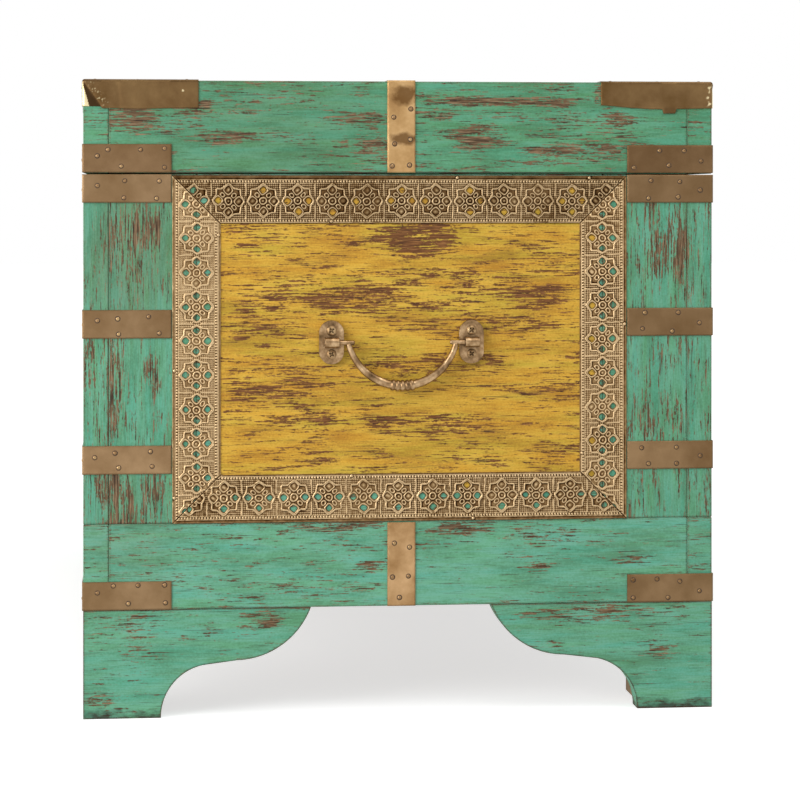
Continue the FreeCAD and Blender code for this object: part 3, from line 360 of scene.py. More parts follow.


# %% [markdown]
# ### Dirt, painted shade, and the wood inside
#
# Dirt lies where a cloth doesn't reach: along open edges and round the feet, where it rises
# from the floor unevenly. Shade is painted with it: in corners, which ambient occlusion finds,
# and in the seam under the lid, where the gap's shadow is painted on the boards. The inside was
# planed and never painted, so a box as wide as the inside decides where the boards show bare
# wood, with growth lines some 4 mm apart and fine pores.


# %% Grime and the inside
def dirt_and_shade_share(tree, place, edge, edge_grime, from_floor):
    """How much dirt and painted shade cover each point: dirt on open edges and near the floor,
    painted shade in corners and in the seam under the lid.
    """
    # Corners that ambient occlusion finds get painted shade.
    corner = add(tree, "AmbientOcclusion", {"Distance": 2.2 * MM}, samples=6).outputs["AO"]
    corner = add(tree, "MapRange", {"Value": corner, "From Min": 0.85, "From Max": 0.35})
    open_edge = add(tree, "MapRange", {"Value": corner, "From Min": 0.5, "From Max": 0.0})
    on_edge = add(tree, "MapRange", {"Value": edge, "From Min": 0.1, "From Max": 0.5,
                                     "To Max": edge_grime})
    soiled_and_shaded = add(tree, "Math", {0: on_edge, 1: open_edge}, operation="MULTIPLY")
    soiled_and_shaded = add_up(tree, soiled_and_shaded, (corner, 0.12))
    upright = add(tree, "Math", {0: facing(tree)["Z"], 1: 0.5}, operation="LESS_THAN")
    # The seam under the lid is painted dark on upright faces: the gap's shadow.
    seam_shadow = add(tree, "Math", {0: add(tree, "SeparateXYZ", {0: place}).outputs["Z"],
                              1: SEAM_HEIGHT * MM, 2: SEAM_REACH * MM}, operation="COMPARE")
    seam_shadow = add(tree, "Math", {0: seam_shadow, 1: upright}, operation="MULTIPLY")
    low_down = add(tree, "MapRange", {"Value": from_floor, "From Min": FLOOR_DIRT * MM,
                                      "From Max": 10 * MM})
    for more in (seam_shadow, low_down):
        soiled_and_shaded = add(tree, "Math", {0: soiled_and_shaded, 1: more}, operation="MAXIMUM")
    return add(tree, "Math", {0: soiled_and_shaded, 1: 0.85}, operation="MULTIPLY")


def inside_chest(tree, place):
    """1 on the unpainted surfaces inside the carcass and the lid."""
    apart = add(tree, "SeparateXYZ", {
        0: add(tree, "VectorMath", {0: place}, operation="ABSOLUTE")}).outputs
    inside = 1.0
    # Just past the inner faces of the boards, and inside the lid's planks.
    for axis, limit in zip(AXES, (INNER_HALF_LENGTH + 0.1, INNER_HALF_DEPTH + 0.1, LID_TOP - 11)):
        within = add(tree, "Math", {0: apart[axis], 1: limit * MM}, operation="LESS_THAN")
        inside = add(tree, "Math", {0: within, 1: inside}, operation="MULTIPLY")
    return inside


def planed_colour(tree, shifted, grain):
    """The growth lines of bare planed mango, and its pores."""
    pores = streaks(tree, shifted, grain, 30, 0.6, 2.0)
    mixed = add_up(tree, streaks(tree, shifted, grain, 160, 4.5, 3.0), (pores, 0.4))
    return add(tree, "ValToRGB", {"Fac": mixed}, PLANED), pores


# %% [markdown]
# ### The painted finish
#
# Now the parts are laid over one another as on the real boards: the paint with its age and dull
# places, thin where it is nearly worn, bare wood where it is gone, fine dark cracks, then dirt
# and painted shade.
# A panel gets both paints, each over its own tone of wood, which looks browner in the yellow.


# %% Painted wood
def paint_and_wood(tree, colours, mixed, drift, pores):
    """One paint in its tones and tints, and the wood under it."""
    tones, tints, bare = colours
    paint = coats(tree, three_tones(tree, mixed, *BROAD, tones),
                  (1.0, three_tones(tree, drift, *FINE, tints), "MULTIPLY"))
    return paint, three_tones(tree, pores, *FINE, bare)


def painted_wood(name, grain, spots=(), panel=False, edge_grime=0.35):
    """Distressed chalk paint on mango wood whose grain runs along one axis."""
    material, tree = new_material(name)
    place, shifted = board_place(tree, grain)
    amount, bundles, edge = worn_amount(tree, place, shifted, grain, spots)
    from_floor = add_up(tree, add(tree, "SeparateXYZ", {0: place}).outputs["Z"],
                        (streaks(tree, shifted, grain, 9, 5, 4.0), 20 * MM))
    scuffed = add(tree, "MapRange", {"Value": from_floor, "From Min": FLOOR_DIRT * MM,
                                     "From Max": 8 * MM})
    amount = add_up(tree, amount, (scuffed, 0.15))
    clouds = streaks(tree, shifted, grain, 52, 13, 3.0)
    pores = streaks(tree, shifted, grain, 15, 0.85, 3.0, 0.65)
    chalk = streaks(tree, shifted, grain, 1.6, 1.3, 1.0)
    drift = streaks(tree, shifted, grain, 70, 7, 4.0, 0.6)
    mixed = add_up(tree, 0.0, (clouds, 0.95), (pores, 0.6), (chalk, 0.35))
    paint, wood = paint_and_wood(tree, TEAL, mixed, drift, pores)
    if panel:
        yellow = yellow_area(tree, place)
        ochre, brown = paint_and_wood(tree, OCHRE, mixed, drift, pores)
        paint, wood = coats(tree, paint, (yellow, ochre)), coats(tree, wood, (yellow, brown))
    age = add(tree, "Attribute", attribute_type="OBJECT", attribute_name="board_age")
    dull = rubbed(tree, place, DULL_PLACES, 0.0)
    cracks = add_up(tree, streaks(tree, shifted, grain, 40, 0.7, 2.0, 0.7), (bundles, 0.5))
    cracked = add(tree, "MapRange", {"Value": cracks, "From Min": 0.9, "From Max": 0.97,
                                     "To Max": 0.7})
    thin = add(tree, "MapRange", {"Value": amount, "From Min": WORN_LIMIT - 0.07,
                                  "From Max": WORN_LIMIT, "To Max": 0.35})
    gone = add(tree, "MapRange", {"Value": amount, "From Min": WORN_LIMIT,
                                  "From Max": WORN_LIMIT + 0.02})
    colour = coats(tree, paint, (age.outputs["Fac"], linear(AGED), "MULTIPLY"),
                   (dull, linear(DULLED), "MULTIPLY"), (thin, wood), (gone, wood),
                   (cracked, linear(CRACK)),
                   (dirt_and_shade_share(tree, place, edge, edge_grime, from_floor), linear(DIRT_AND_SHADE)),
                   (inside_chest(tree, place), planed_colour(tree, shifted, grain)[0]))
    height = add_up(tree, pores, (gone, -0.6), (cracked, -0.6))
    bump = add(tree, "Bump", {"Height": height, "Strength": 0.55, "Distance": 0.35 * MM})
    rough = add(tree, "MapRange", {"Value": gone, "To Min": 0.6, "To Max": 0.8})
    shader = add(tree, "BsdfPrincipled", {
        "Base Color": colour, "Roughness": rough, "Specular IOR Level": 0.35, "Normal": bump})
    add(tree, "OutputMaterial", {"Surface": shader})
    return material


# %% [markdown]
# ### Which board gets what
#
# The boards are listed by the way of their grain. Each board has its own shift through the
# noise, its own wear and its own age, drawn from a seeded generator so that every run gives the
# same chest.

# %% Paint the boards
BOARDS = {
    "X": ["front_bottom_rail", "back_bottom_rail", "back_planks", "lid_front_board",
          "lid_back_board", "lid_top_planks"],
    "Y": ["left_bottom_rail", "right_bottom_rail", "lid_left_board", "lid_right_board"],
    "Z": ["front_left_stile", "front_right_stile", "front_centre_stile", "back_left_stile",
          "back_right_stile", "left_front_stile", "left_back_stile", "right_front_stile",
          "right_back_stile"],
}
SPOTS = {"X": (), "Y": RUBBED_ALONG_Y, "Z": RUBBED_ALONG_Z}
# What each kind of board adds to the wear, and how far its paint has browned.
WEAR = {"lid": 0.01, "stile": 0.01, "rail": -0.02, "planks": 0.0, "foot": -0.03, "panel": 0.028}
AGE = {"lid": 0.58, "stile": 0.28, "rail": 0.05, "planks": 0.3, "foot": 0.14, "panel": 0.0}
chance = np.random.default_rng(17)


def set_apart(made):
    """Gives a piece its own place in the noise."""
    made["board_shift"] = [float(x) for x in chance.uniform(0, 5, 3)]


def dress(node, finish):
    """Gives a node from the frame its finish and its own place in the noise."""
    dressed = nodes[node]
    dressed.data.materials.clear()
    dressed.data.materials.append(finish)
    set_apart(dressed)
    return dressed


def prepare(node, finish, kind):
    """Dresses a board and gives it its own wear and age."""
    board = dress(node, finish)
    board["board_wear"] = WEAR[kind] + float(chance.uniform(-0.015, 0.015))
    board["board_age"] = AGE[kind] + float(chance.uniform(-0.03, 0.03))
    return board


for grain, names in BOARDS.items():
    finish = painted_wood(f"teal chalk paint on mango wood, grain {grain}", grain, SPOTS[grain])
    for name in names:
        kind = next(word for word in WEAR if word in name)
        prepare(name, finish, kind)
print(sum(map(len, BOARDS.values())), "teal boards")

# %% [markdown]
# A foot is two brackets: the one at the end has its grain along Y and the one at the front along
# X. One material does for both, since it turns its streaks on faces that look along the grain.
# The feet are knocked and mopped round, so dirt marks their edges more.
#
# The panels carry the yellow's limits as two properties, mirrored on the opposite sides.

# %% Paint the feet
feet_finish = painted_wood("teal chalk paint on mango brackets", "Y", RUBBED_ALONG_Y, False, 0.65)
for name in ("front_left_foot", "front_right_foot", "back_left_foot", "back_right_foot"):
    prepare(name, feet_finish, "foot")

# %% Paint the panels
# The yellow's limits on the right end, read from the holes that show each colour.
YELLOW_LEFT, YELLOW_RIGHT, YELLOW_BOTTOM, YELLOW_TOP = -133.7, 142.0, 157.0, 378.0
END_PANELS = {"right_panel": 1, "left_panel": -1}
FRONT_PANELS = {"front_right_panel": 1, "front_left_panel": -1}
end_finish = painted_wood("ochre chalk paint on mango wood, grain Y", "Y", RUBBED_PANEL, True)
front_finish = painted_wood("ochre chalk paint on mango wood, grain X", "X", (), True)
for finish, group in ((end_finish, END_PANELS), (front_finish, FRONT_PANELS)):
    for name, side in group.items():
        panel = prepare(name, finish, "panel")
        low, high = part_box(name)
        middle, half = (low + high) / 2, (high - low) / 2
        across = 1 if finish is end_finish else 0
        middle[across] += side * (YELLOW_LEFT + YELLOW_RIGHT) / 2 * MM
        half[across] = (YELLOW_RIGHT - YELLOW_LEFT) / 2 * MM
        middle.z = (YELLOW_TOP + YELLOW_BOTTOM) / 2 * MM
        half.z = (YELLOW_TOP - YELLOW_BOTTOM) / 2 * MM
        panel["yellow_middle"], panel["yellow_half"] = list(middle), list(half + Vector(
            [10 * MM if axis != across and axis != 2 else 0 for axis in range(3)]))
print("4 panels")

# %% [markdown]
# ## Bare wood inside
#
# The floor, the battens and the glue blocks were planed and never painted. Planed mango is a
# warm grey brown, roughness 0.7. Its growth lines come from noise that is longer along the
# board, which is cheaper than ring patterns and looks the same on flat-sawn boards.


# %% Planed wood
def planed_wood(name, grain):
    """Bare planed mango with growth lines and pores."""
    material, tree = new_material(name)
    colour, pores = planed_colour(tree, board_place(tree)[1], grain)
    bump = add(tree, "Bump", {"Height": pores, "Strength": 0.4, "Distance": 0.2 * MM})
    shader = add(tree, "BsdfPrincipled", {"Base Color": colour, "Roughness": 0.7, "Normal": bump})
    add(tree, "OutputMaterial", {"Surface": shader})
    return material


BARE_BOARDS = {"X": ["floor_board"], "Y": ["floor_battens", "lid_battens"], "Z": ["corner_blocks"]}
for grain, names in BARE_BOARDS.items():
    finish = planed_wood(f"planed mango wood, grain {grain}", grain)
    for name in names:
        prepare(name, finish, "planks")
print(sum(map(len, BARE_BOARDS.values())), "bare nodes")

# %% [markdown]
# ## Aged brass sheet
#
# The straps are strips of soft brass, cut with shears, hammered flat and nailed on. Brass is a
# metal, so its colour is in its reflection: metallic 1, and the colour is what it mirrors from
# a white studio. Age gave it a brown skin that is thicker in some clouds, 20 to 34 mm across,
# and rubbed brighter in others. It is a satin surface, roughness near 0.4, with shallow dents
# that bend the reflections. The dents are bump from noise 18 mm across and 0.3 mm deep. Smaller
# pieces of brass, bronze and steel use the same finish with smaller clouds and dents.

# %% Brass sheet
# The third colour is a painted highlight and the fourth is dark: painted shade in crevices and the
# dark end of a cap's tone.
STAIN, SKIN, PAINTED_HIGHLIGHT, DARK = "#5a3b1c", "#3a2a18", "#f4e3b4", "#2e2013"
BACK_FROM, BACK_TO = 30, 150


def brass_sheet(name, tones, clouds=34.0, dents=18.0, dent_depth=0.3, rough=(0.34, 0.46),
                softness=2.2, crevices=1.6, back="#e2dfda", stains=()):
    """Aged sheet brass from dark, middle and bright tones, with stains at given places.

    It is multiplied by another colour towards the back of the chest, a painted shade for the
    darker reflections on that side. A mesh may carry painted light and tone on its points, from -1
    for dark to 1 for bright, and crevices get painted shade."""
    material, tree = new_material(name)
    place, shifted = board_place(tree)
    cloud = streaks(tree, shifted, "X", clouds, clouds, 3.0)
    speck = streaks(tree, shifted, "X", 1.6, 1.6, 2.0)
    colour = three_tones(tree, add_up(tree, cloud, (speck, 0.12)), 0.36, 0.76, tones)
    # Towards the back the colour is multiplied darker: painted shade for the darker reflections on
    # that side.
    back_shade = add(tree, "MapRange", {"Value": add(tree, "SeparateXYZ", {0: place}).outputs["Y"],
                                     "From Min": BACK_FROM * MM, "From Max": BACK_TO * MM})
    colour = coats(tree, colour, (back_shade, linear(back), "MULTIPLY"))
    for middle, size in stains:
        ragged = add_up(tree, spot(tree, place, middle, size),
                        (streaks(tree, place, "X", 6, 6, 3.0), 0.8))
        stained = add(tree, "MapRange", {"Value": ragged, "From Min": 0.62, "From Max": 0.98,
                                         "To Max": 0.8})
        colour = coats(tree, colour, (stained, linear(STAIN)))
    # A cap's points carry painted highlights and shadows, and some darker marks.
    tone = add(tree, "Attribute", attribute_type="GEOMETRY", attribute_name="tone").outputs["Fac"]
    rounded, lean = near_edge(tree, softness)
    # Crevices that ambient occlusion finds are darkened: painted shade.
    crevice_shade = add(tree, "AmbientOcclusion", {"Distance": crevices * MM}, samples=4).outputs["AO"]
    # What each coat follows, the values between which it comes in, its most and its colour.
    for value, low, high, most, over in (
            (tone, 0.0, 1.0, 1.0, PAINTED_HIGHLIGHT), (tone, 0.0, -1.0, 1.0, DARK),
            (lean, 0.99, 0.85, 0.3, SKIN), (crevice_shade, 0.8, 0.1, 1.0, DARK)):
        share = add(tree, "MapRange", {"Value": value, "From Min": low, "From Max": high,
                                       "To Max": most})
        colour = coats(tree, colour, (share, linear(over)))
    bump = rounded
    dent = streaks(tree, shifted, "X", dents, dents, 1.0)
    for bumps, strength, depth in ((dent, 1.0, dent_depth), (speck, 0.35, 0.08)):
        bump = add(tree, "Bump", {"Height": bumps, "Strength": strength, "Distance": depth * MM,
                                  "Normal": bump})
    polish = add(tree, "MapRange", {"Value": cloud, "From Min": 0.3, "From Max": 0.7,
                                    "To Min": rough[1], "To Max": rough[0]})
    shader = add(tree, "BsdfPrincipled",
                 {"Base Color": colour, "Metallic": 1.0, "Roughness": polish, "Normal": bump})
    add(tree, "OutputMaterial", {"Surface": shader})
    return material


# %% [markdown]
# ### The straps
#
# Straps of one height share a node. The photograph shows them in four shades: those on the
# lid's corners are darker, those under them on the chest's middle lighter, and those on the
# middle of the ends were rubbed bright, with brown stains on the lid's.

# %% Dress the straps
strap_brass = brass_sheet("aged brass sheet", ("#745a3d", "#82684a", "#917657"))
dark_brass = brass_sheet("darker brass sheet", ("#6b5136", "#785e42", "#876c4e"))
light_brass = brass_sheet("lighter brass sheet", ("#7a5f41", "#8a6f50", "#9a7e5d"))
bright_brass = brass_sheet("rubbed brass sheet", ("#8e6c45", "#a6845c", "#ba976e"), 20.0)
# A brown stain at the top of each of the lid's centre straps and a smaller one below it: their
# middles and half sizes.
STAINS = [((side * HALF_LENGTH, 2.0, LID_TOP - drop), (8, 15, rise))
          for side in (-1, 1) for drop, rise in ((10.0, 11.0), (41.0, 7.0))]
stained_brass = brass_sheet("rubbed brass sheet with brown stains",
                            ("#957249", "#b08c5d", "#c7a373"), 20.0, stains=STAINS)
STRAPS = ["base_corner_straps", "lower_corner_straps", "upper_corner_straps", "rim_corner_straps",
          "lid_corner_straps", "centre_stile_straps", "lid_centre_straps", "base_centre_straps"]
FINISHES = {"lid_centre_straps": stained_brass, "base_centre_straps": bright_brass,
            "lid_corner_straps": dark_brass, "lower_corner_straps": light_brass}
for name in STRAPS:
    dress(name, FINISHES.get(name, strap_brass))
print(len(STRAPS), "nodes of straps")

# %% [markdown]
# ## Meshes from arrays
#
# The embossed strips hold tens of thousands of points each, which is slow to add one by one.
# This helper hands whole arrays to Blender. It takes points in millimetres and faces of four
# corners, and it can store one number per point for the material to read.


# %% Mesh helper
def array_mesh(name, points, quads, **numbers):
    """A smooth mesh from points in millimetres, quads and numbers stored on the points."""
    mesh = bpy.data.meshes.new(name)
    mesh.vertices.add(len(points))
    mesh.vertices.foreach_set("co", (np.asarray(points) * MM).astype(np.float32).ravel())
    mesh.loops.add(quads.size)
    mesh.loops.foreach_set("vertex_index", quads.astype(np.int32).ravel())
    mesh.polygons.add(len(quads))
    mesh.polygons.foreach_set("loop_start", np.arange(0, quads.size, 4, dtype=np.int32))
    for number, values in numbers.items():
        stored = mesh.attributes.new(number, "FLOAT", "POINT")
        stored.data.foreach_set("value", np.asarray(values, np.float32).ravel())
    mesh.update(calc_edges=True)
    mesh.validate()
    mesh.shade_smooth()
    return mesh


def piece(name, mesh, body, slot_name, *stands_for, place=None):
    """Shows a mesh at a place, as a piece of one body that stands for nodes of the frame."""
    made = bpy.data.objects.new(name, mesh)
    bpy.context.scene.collection.objects.link(made)
    if place is not None:
        made.matrix_world = place
    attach(made, body)
    if stands_for:
        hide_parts(*stands_for)
    return made


def grid_quads(rows, columns, keep=None):
    """The quads of a grid of points, row by row, leaving out cells where keep is false."""
    first = (np.arange(rows - 1)[:, None] * columns + np.arange(columns - 1)).ravel()
    if keep is not None:
        first = first[keep.ravel()]
    return np.stack([first, first + columns, first + columns + 1, first + 1], 1)


def tube_quads(rings, sides):
    """The quads of rings of points joined one to the next."""
    start = np.arange(rings - 1)[:, None] * sides
    here, after = np.arange(sides), (np.arange(sides) + 1) % sides
    return np.stack([start + here, start + after, start + sides + after, start + sides + here],
                    -1).reshape(-1, 4)


def joined(parts):
    """The points and quads of several parts as one."""
    sizes = np.cumsum([0] + [len(points) for points, _ in parts])
    return (np.concatenate([points for points, _ in parts]),
            np.concatenate([quads + size for (_, quads), size in zip(parts, sizes)]))


def skirt(points, quads, below):
    """Adds a wall from every open edge down to the points below it."""
    starts, ends = quads.ravel(), np.roll(quads, -1, axis=1).ravel()
    size = len(points)
    open_edge = ~np.isin(ends * size + starts, starts * size + ends)
    starts, ends = starts[open_edge], ends[open_edge]
    rim, which = np.unique(np.concatenate([starts, ends]), return_inverse=True)
    foot = size + which
    count = len(starts)
    walls = np.stack([ends, starts, foot[:count], foot[count:]], 1)
    return np.concatenate([points, below[rim]]), np.concatenate([quads, walls]), rim


# %% [markdown]
# ## The embossed strips
#
# Each panel is framed by strips of thin brass, pressed over a die with one motif in a row: a
# ring with four leaves, four lobes round it that were pierced through, and an outline that
# runs round them all. Between the motifs the die is a field of fine beads, and a row of larger
# beads runs along both edges. The press struck unevenly, so some lobes stayed closed and some
# stretches are nearly flat.
#
# It could be a bump map, but from the side a bump is flat and the holes need to be real. So
# every strip is a grid of points 0.4 mm apart whose height is worked out from the motif. Cells
# over a hole are left out and the rim is turned down to the wood.
#
# The motif is the same in each quarter, so it is drawn by the distances along and across from
# its middle.

# %% The die
STRIP_WIDTH = 34.0
OUTLINE_ALONG = np.array([0, 1.6, 3.3, 4.6, 8.2, 8.7, 8.8, 10.1, 11.2])
OUTLINE_ACROSS = np.array([12.2, 11.2, 9.6, 8.6, 8.4, 7.8, 4.0, 2.2, 0])
LOBE_PLACES = [(7.5, 0), (-7.5, 0), (0, 7.7), (0, -7.7)]
RING_RADIUS, LOBE_REACH, HOLE_REACH = 2.4, 3.3, 2.3
# A leaf is an oval on the diagonal. Its middle is where the two distances add up to the first
# number, and the others are its stretch along and across the diagonal and its size.
LEAF_MIDDLE, LEAF_STRETCH, LEAF_SIZE = 8.1, (1.77, 1.35), 1.35
SHEET = 0.4
RELIEF = 1.0
FAR = 99.0


def crest(distance, width, height):
    """A rounded ridge of one width and height along the line where the distance is 0."""
    return height * np.clip(1 - (2 * distance / width) ** 2, 0, 1)


def outline_distance(along, across):
    """The distance to the motif's outline, for points folded into one quarter."""
    nearest = np.full(along.shape, FAR)
    corners = list(zip(OUTLINE_ALONG, OUTLINE_ACROSS))
    for (x0, y0), (x1, y1) in zip(corners, corners[1:]):
        dx, dy = x1 - x0, y1 - y0
        share = np.clip(((along - x0) * dx + (across - y0) * dy) / (dx * dx + dy * dy), 0, 1)
        nearest = np.minimum(nearest, np.hypot(along - x0 - share * dx, across - y0 - share * dy))
    return nearest


def motif_height(along, across, pierced):
    """The height of one motif, how far and which way the nearest hole is, and what is inside."""
    a, b = np.abs(along), np.abs(across)
    inside = b < np.interp(a, OUTLINE_ALONG, OUTLINE_ACROSS)
    height = np.where(inside, 0.26, 0.0)
    height = np.maximum(height, crest(outline_distance(a, b), 1.4, 1.0))
    centre = np.hypot(along, across)
    height = np.maximum(height, crest(np.abs(centre - RING_RADIUS), 1.2, 1.0))
    height = np.maximum(height, crest(centre, 1.8, 0.55))
    leaf = np.hypot((a + b - LEAF_MIDDLE) / LEAF_STRETCH[0], (a - b) / LEAF_STRETCH[1])
    height = np.maximum(height, crest(np.abs(leaf - LEAF_SIZE), 0.9, 0.85))
    hole = np.full(along.shape, FAR)
    towards = np.zeros(along.shape + (2,))
    for lobe, (x, y) in enumerate(LOBE_PLACES):
        offset = np.stack([along - x, across - y], -1)
        out = (np.abs(offset) ** 1.4).sum(-1) ** (1 / 1.4)
        height = np.maximum(height, crest(np.abs(out - LOBE_REACH), 1.2, 0.85))
        dome = 0.35 * np.clip(1 - out / 2.2, 0, 1) * ~pierced[lobe]
        height = np.maximum(height, np.where(out < LOBE_REACH, 0.2 + dome, 0))
        nearer = pierced[lobe] & (out < hole)
        hole = np.where(nearer, out, hole)
        towards = np.where(nearer[..., None], offset, towards)
    return height, hole, towards, inside


# %% [markdown]
# The field round the motifs has its own pattern, and everything is warped a little so that no
# two motifs are quite alike. `ripple` is smooth noise made of a few waves in random directions.


# %% The whole strip's relief
BEAD_PITCH, EDGE_BEAD_PITCH, EDGE_BEAD_RADIUS = 1.36, 2.05, 0.8
# How far from the strip's middle its border begins, its beads lie and its plain rim begins, and
# the place, width and height of the border's two ridges.
BORDER_FROM, EDGE_BEADS_AT, RIM_FROM = 12.5, 13.9, 15.5
RIDGES = ((12.75, 0.8, 0.6), (15.05, 0.9, 0.7))


def ripple(x, y, length, seed, waves=7):
    """Smooth noise between about -1 and 1, with waves near one length in millimetres."""
    draw = np.random.default_rng(seed)
    total = np.zeros_like(x)
    for angle, stretch, phase in zip(draw.uniform(0, np.pi, waves), draw.uniform(0.6, 1.7, waves),
                                     draw.uniform(0, 2 * np.pi, waves)):
        across = x * np.cos(angle) + y * np.sin(angle)
        total += np.sin(2 * np.pi * across / (length * stretch) + phase)
    return total / np.sqrt(waves * 2)


def strip_relief(s, v, phase, pitch, open_share, seed):
    """The height in millimetres of a whole strip, and how far and which way its holes are."""
    draw = np.random.default_rng(seed)
    warp_s = s + 0.35 * ripple(s, v, 22, seed + 1) + 0.16 * ripple(s, v, 6, seed + 4)
    warp_v = v + 0.35 * ripple(s, v, 26, seed + 2) + 0.16 * ripple(s, v, 6, seed + 5)
    number = np.round((warp_s - phase) / pitch).astype(int)
    number -= number.min()
    along = warp_s - phase - pitch * np.round((warp_s - phase) / pitch)
    pierced = draw.random((4, number.max() + 1)) < open_share
    motif, hole, towards, inside = motif_height(along, warp_v, [row[number] for row in pierced])
    hole = hole + 0.25 * ripple(s, v, 12, seed + 6)
    beads = (0.5 + 0.5 * np.cos(2 * np.pi * s / BEAD_PITCH)) * (
        0.5 + 0.5 * np.cos(2 * np.pi * v / BEAD_PITCH))
    ribs = 0.5 + 0.5 * np.cos(2 * np.pi * v / BEAD_PITCH)
    field = 0.2 + 0.42 * beads + 0.1 * ribs
    between = np.where(np.abs(v) > 3.2, np.abs(np.abs(along) - pitch / 2), 9)
    field = np.maximum(field, crest(between, 1.4, 0.8))
    height = np.where(inside, motif, np.maximum(field, motif))
    side = np.abs(v)
    bead = np.hypot(s - EDGE_BEAD_PITCH * np.round(s / EDGE_BEAD_PITCH), side - EDGE_BEADS_AT)
    border = 0.08 + np.sqrt(np.clip(1 - (bead / EDGE_BEAD_RADIUS) ** 2, 0, 1)) * 0.95
    for ridge_at, width, rise in RIDGES:
        border = np.maximum(border, crest(side - ridge_at, width, rise))
    border = np.where(side > RIM_FROM, 0.16 + 0.06 * ripple(s, v, 9, seed + 7), border)
    height = np.where(side > BORDER_FROM, border, height)
    height = height * (0.8 + 0.22 * ripple(s, 0 * v, 55, seed + 3).clip(-1, 1)
                       + 0.22 * ripple(s, v, 5, seed + 8).clip(-1, 1))
    return height, hole, towards


# %% [markdown]
# A strip is cut at 45 degrees at both ends. Its rows of points get shorter towards the inner
# edge, so the mitre is a clean line whatever the grid does. The material needs to know which
# points stand out and which lie in a hollow, where the polish never reached. That is the height
# less its own average over some 2.4 mm around.


# %% Make one strip
GRID = 0.4
TACK_GAP, TACK_RADIUS, TACK_LINES = 92.0, 1.1, [-15.6, 15.4]


def local_average(field, reach):
    """The average of each point's neighbourhood, by running sums along both directions."""
    for axis in (0, 1):
        padded = np.concatenate([np.repeat(np.take(field, [0], axis), reach, axis), field,
                                 np.repeat(np.take(field, [-1], axis), reach, axis)], axis)
        sums = np.cumsum(padded, axis)
        width = 2 * reach
        size = field.shape[axis]
        field = (np.take(sums, range(width, width + size), axis)
                 - np.take(sums, range(0, size), axis)) / width
    return field


def embossed_strip(name, length, inwards, phase, pitch, open_share, seed):
    """The mesh of one strip, its outer edge along X and its inner edge at -Y."""
    half = length / 2
    rows, columns = round(STRIP_WIDTH / GRID) + 1, round(length / GRID) + 1
    t = np.linspace(0, STRIP_WIDTH, rows)[:, None] * np.ones((1, columns))
    s = np.linspace(-1, 1, columns)[None, :] * (half - t)
    v = t - STRIP_WIDTH / 2
    height, hole, towards = strip_relief(s, v - inwards, phase, pitch, open_share, seed)
    draw = np.random.default_rng(seed + 9)
    for place in np.arange(-half + 14, half - 14, TACK_GAP):
        tack_s, tack_v = place + draw.uniform(0, 9), draw.choice(TACK_LINES)
        tack = np.hypot(s - tack_s, v - tack_v)
        height = np.maximum(height, 0.9 * np.sqrt(np.clip(1 - (tack / TACK_RADIUS) ** 2, 0, 1)))
        height = np.where((tack > TACK_RADIUS) & (tack < 1.5), 0.05, height)
    mitre = (half - t - np.abs(s)) / np.sqrt(2)
    height = np.where(mitre < 0.45, 0.0, height)
    relief = 0.45 + 1.8 * (height - local_average(height, 3)) + 0.4 * (height - 0.35)
    relief = np.clip(relief, 0, 1)
    snap = (np.abs(hole - HOLE_REACH) < 0.3) * (HOLE_REACH / np.maximum(hole, 0.5) - 1)
    points = np.stack([s + towards[..., 0] * snap, -(t + towards[..., 1] * snap),
                       np.clip(SHEET + height * RELIEF, 0.1, 1.45)], -1)
    centre_hole = (hole[:-1, :-1] + hole[1:, 1:] + hole[1:, :-1] + hole[:-1, 1:]) / 4
    quads = grid_quads(rows, columns, centre_hole > HOLE_REACH)[:, ::-1]
    points = points.reshape(-1, 3)
    points, quads, rim = skirt(points, quads, points * [1, 1, 0] + [0, 0, 0.02])
    relief = np.concatenate([relief.ravel(), np.zeros(len(rim))])
    return array_mesh(name, points, quads, relief=relief)


# %% [markdown]
# The embossed brass has its own finish: the same metal, but dark brown in the hollows, where
# grime and old polish lie, and bare and bright on top of the ridges.


# %% Embossed brass
def embossed_brass():
    """Brass that is dark in the hollows and bright on the crests, by the stored relief."""
    material, tree = new_material("embossed brass with grime in the hollows")
    place = board_place(tree)[0]
    relief = add(tree, "Attribute", attribute_type="GEOMETRY", attribute_name="relief")
    relief = relief.outputs["Fac"]
    # Each strip's share and darkening are painted shade for how the light from the left falls on
    # its side of the frame.
    light, darkened = (add(tree, "Attribute", attribute_type="OBJECT", attribute_name=name)
                    .outputs["Fac"] for name in ("strip_shade", "strip_extra_shade"))
    cloud = streaks(tree, place, "X", 30, 30, 3.0)
    speck = streaks(tree, place, "X", 1.2, 1.2, 2.0)
    shade = add_up(tree, relief, (cloud, 0.5), (speck, 0.25), (darkened, -1.0))
    colour = add(tree, "ValToRGB", {"Fac": shade}, (
        (0.38, "#2d1b06"), (0.6, "#6f5130"), (0.82, "#9c8059"), (1.0, "#d0b389")))
    colour = coats(tree, colour, (1.0, light, "MULTIPLY"))
    rough = add(tree, "MapRange", {"Value": relief, "To Min": 0.65, "To Max": 0.36})
    bump = add(tree, "Bump", {"Height": speck, "Strength": 0.3, "Distance": 0.1 * MM})
    shader = add(tree, "BsdfPrincipled",
                 {"Base Color": colour, "Metallic": 1.0, "Roughness": rough, "Normal": bump})
    add(tree, "OutputMaterial", {"Surface": shader})
    return material


# %% [markdown]
# A frame needs four strips. They were cut from longer ones, so each starts at another place in
# the row of motifs, and was struck a little differently. Each side of the frame also gets its
# own painted shade, as the light from the left falls on it. Those on the right end are read
# from the photograph.

# %% The four strips of a frame
frame_width, frame_height = FRAME_HIGH.y - FRAME_LOW.y, FRAME_HIGH.z - FRAME_LOW.z
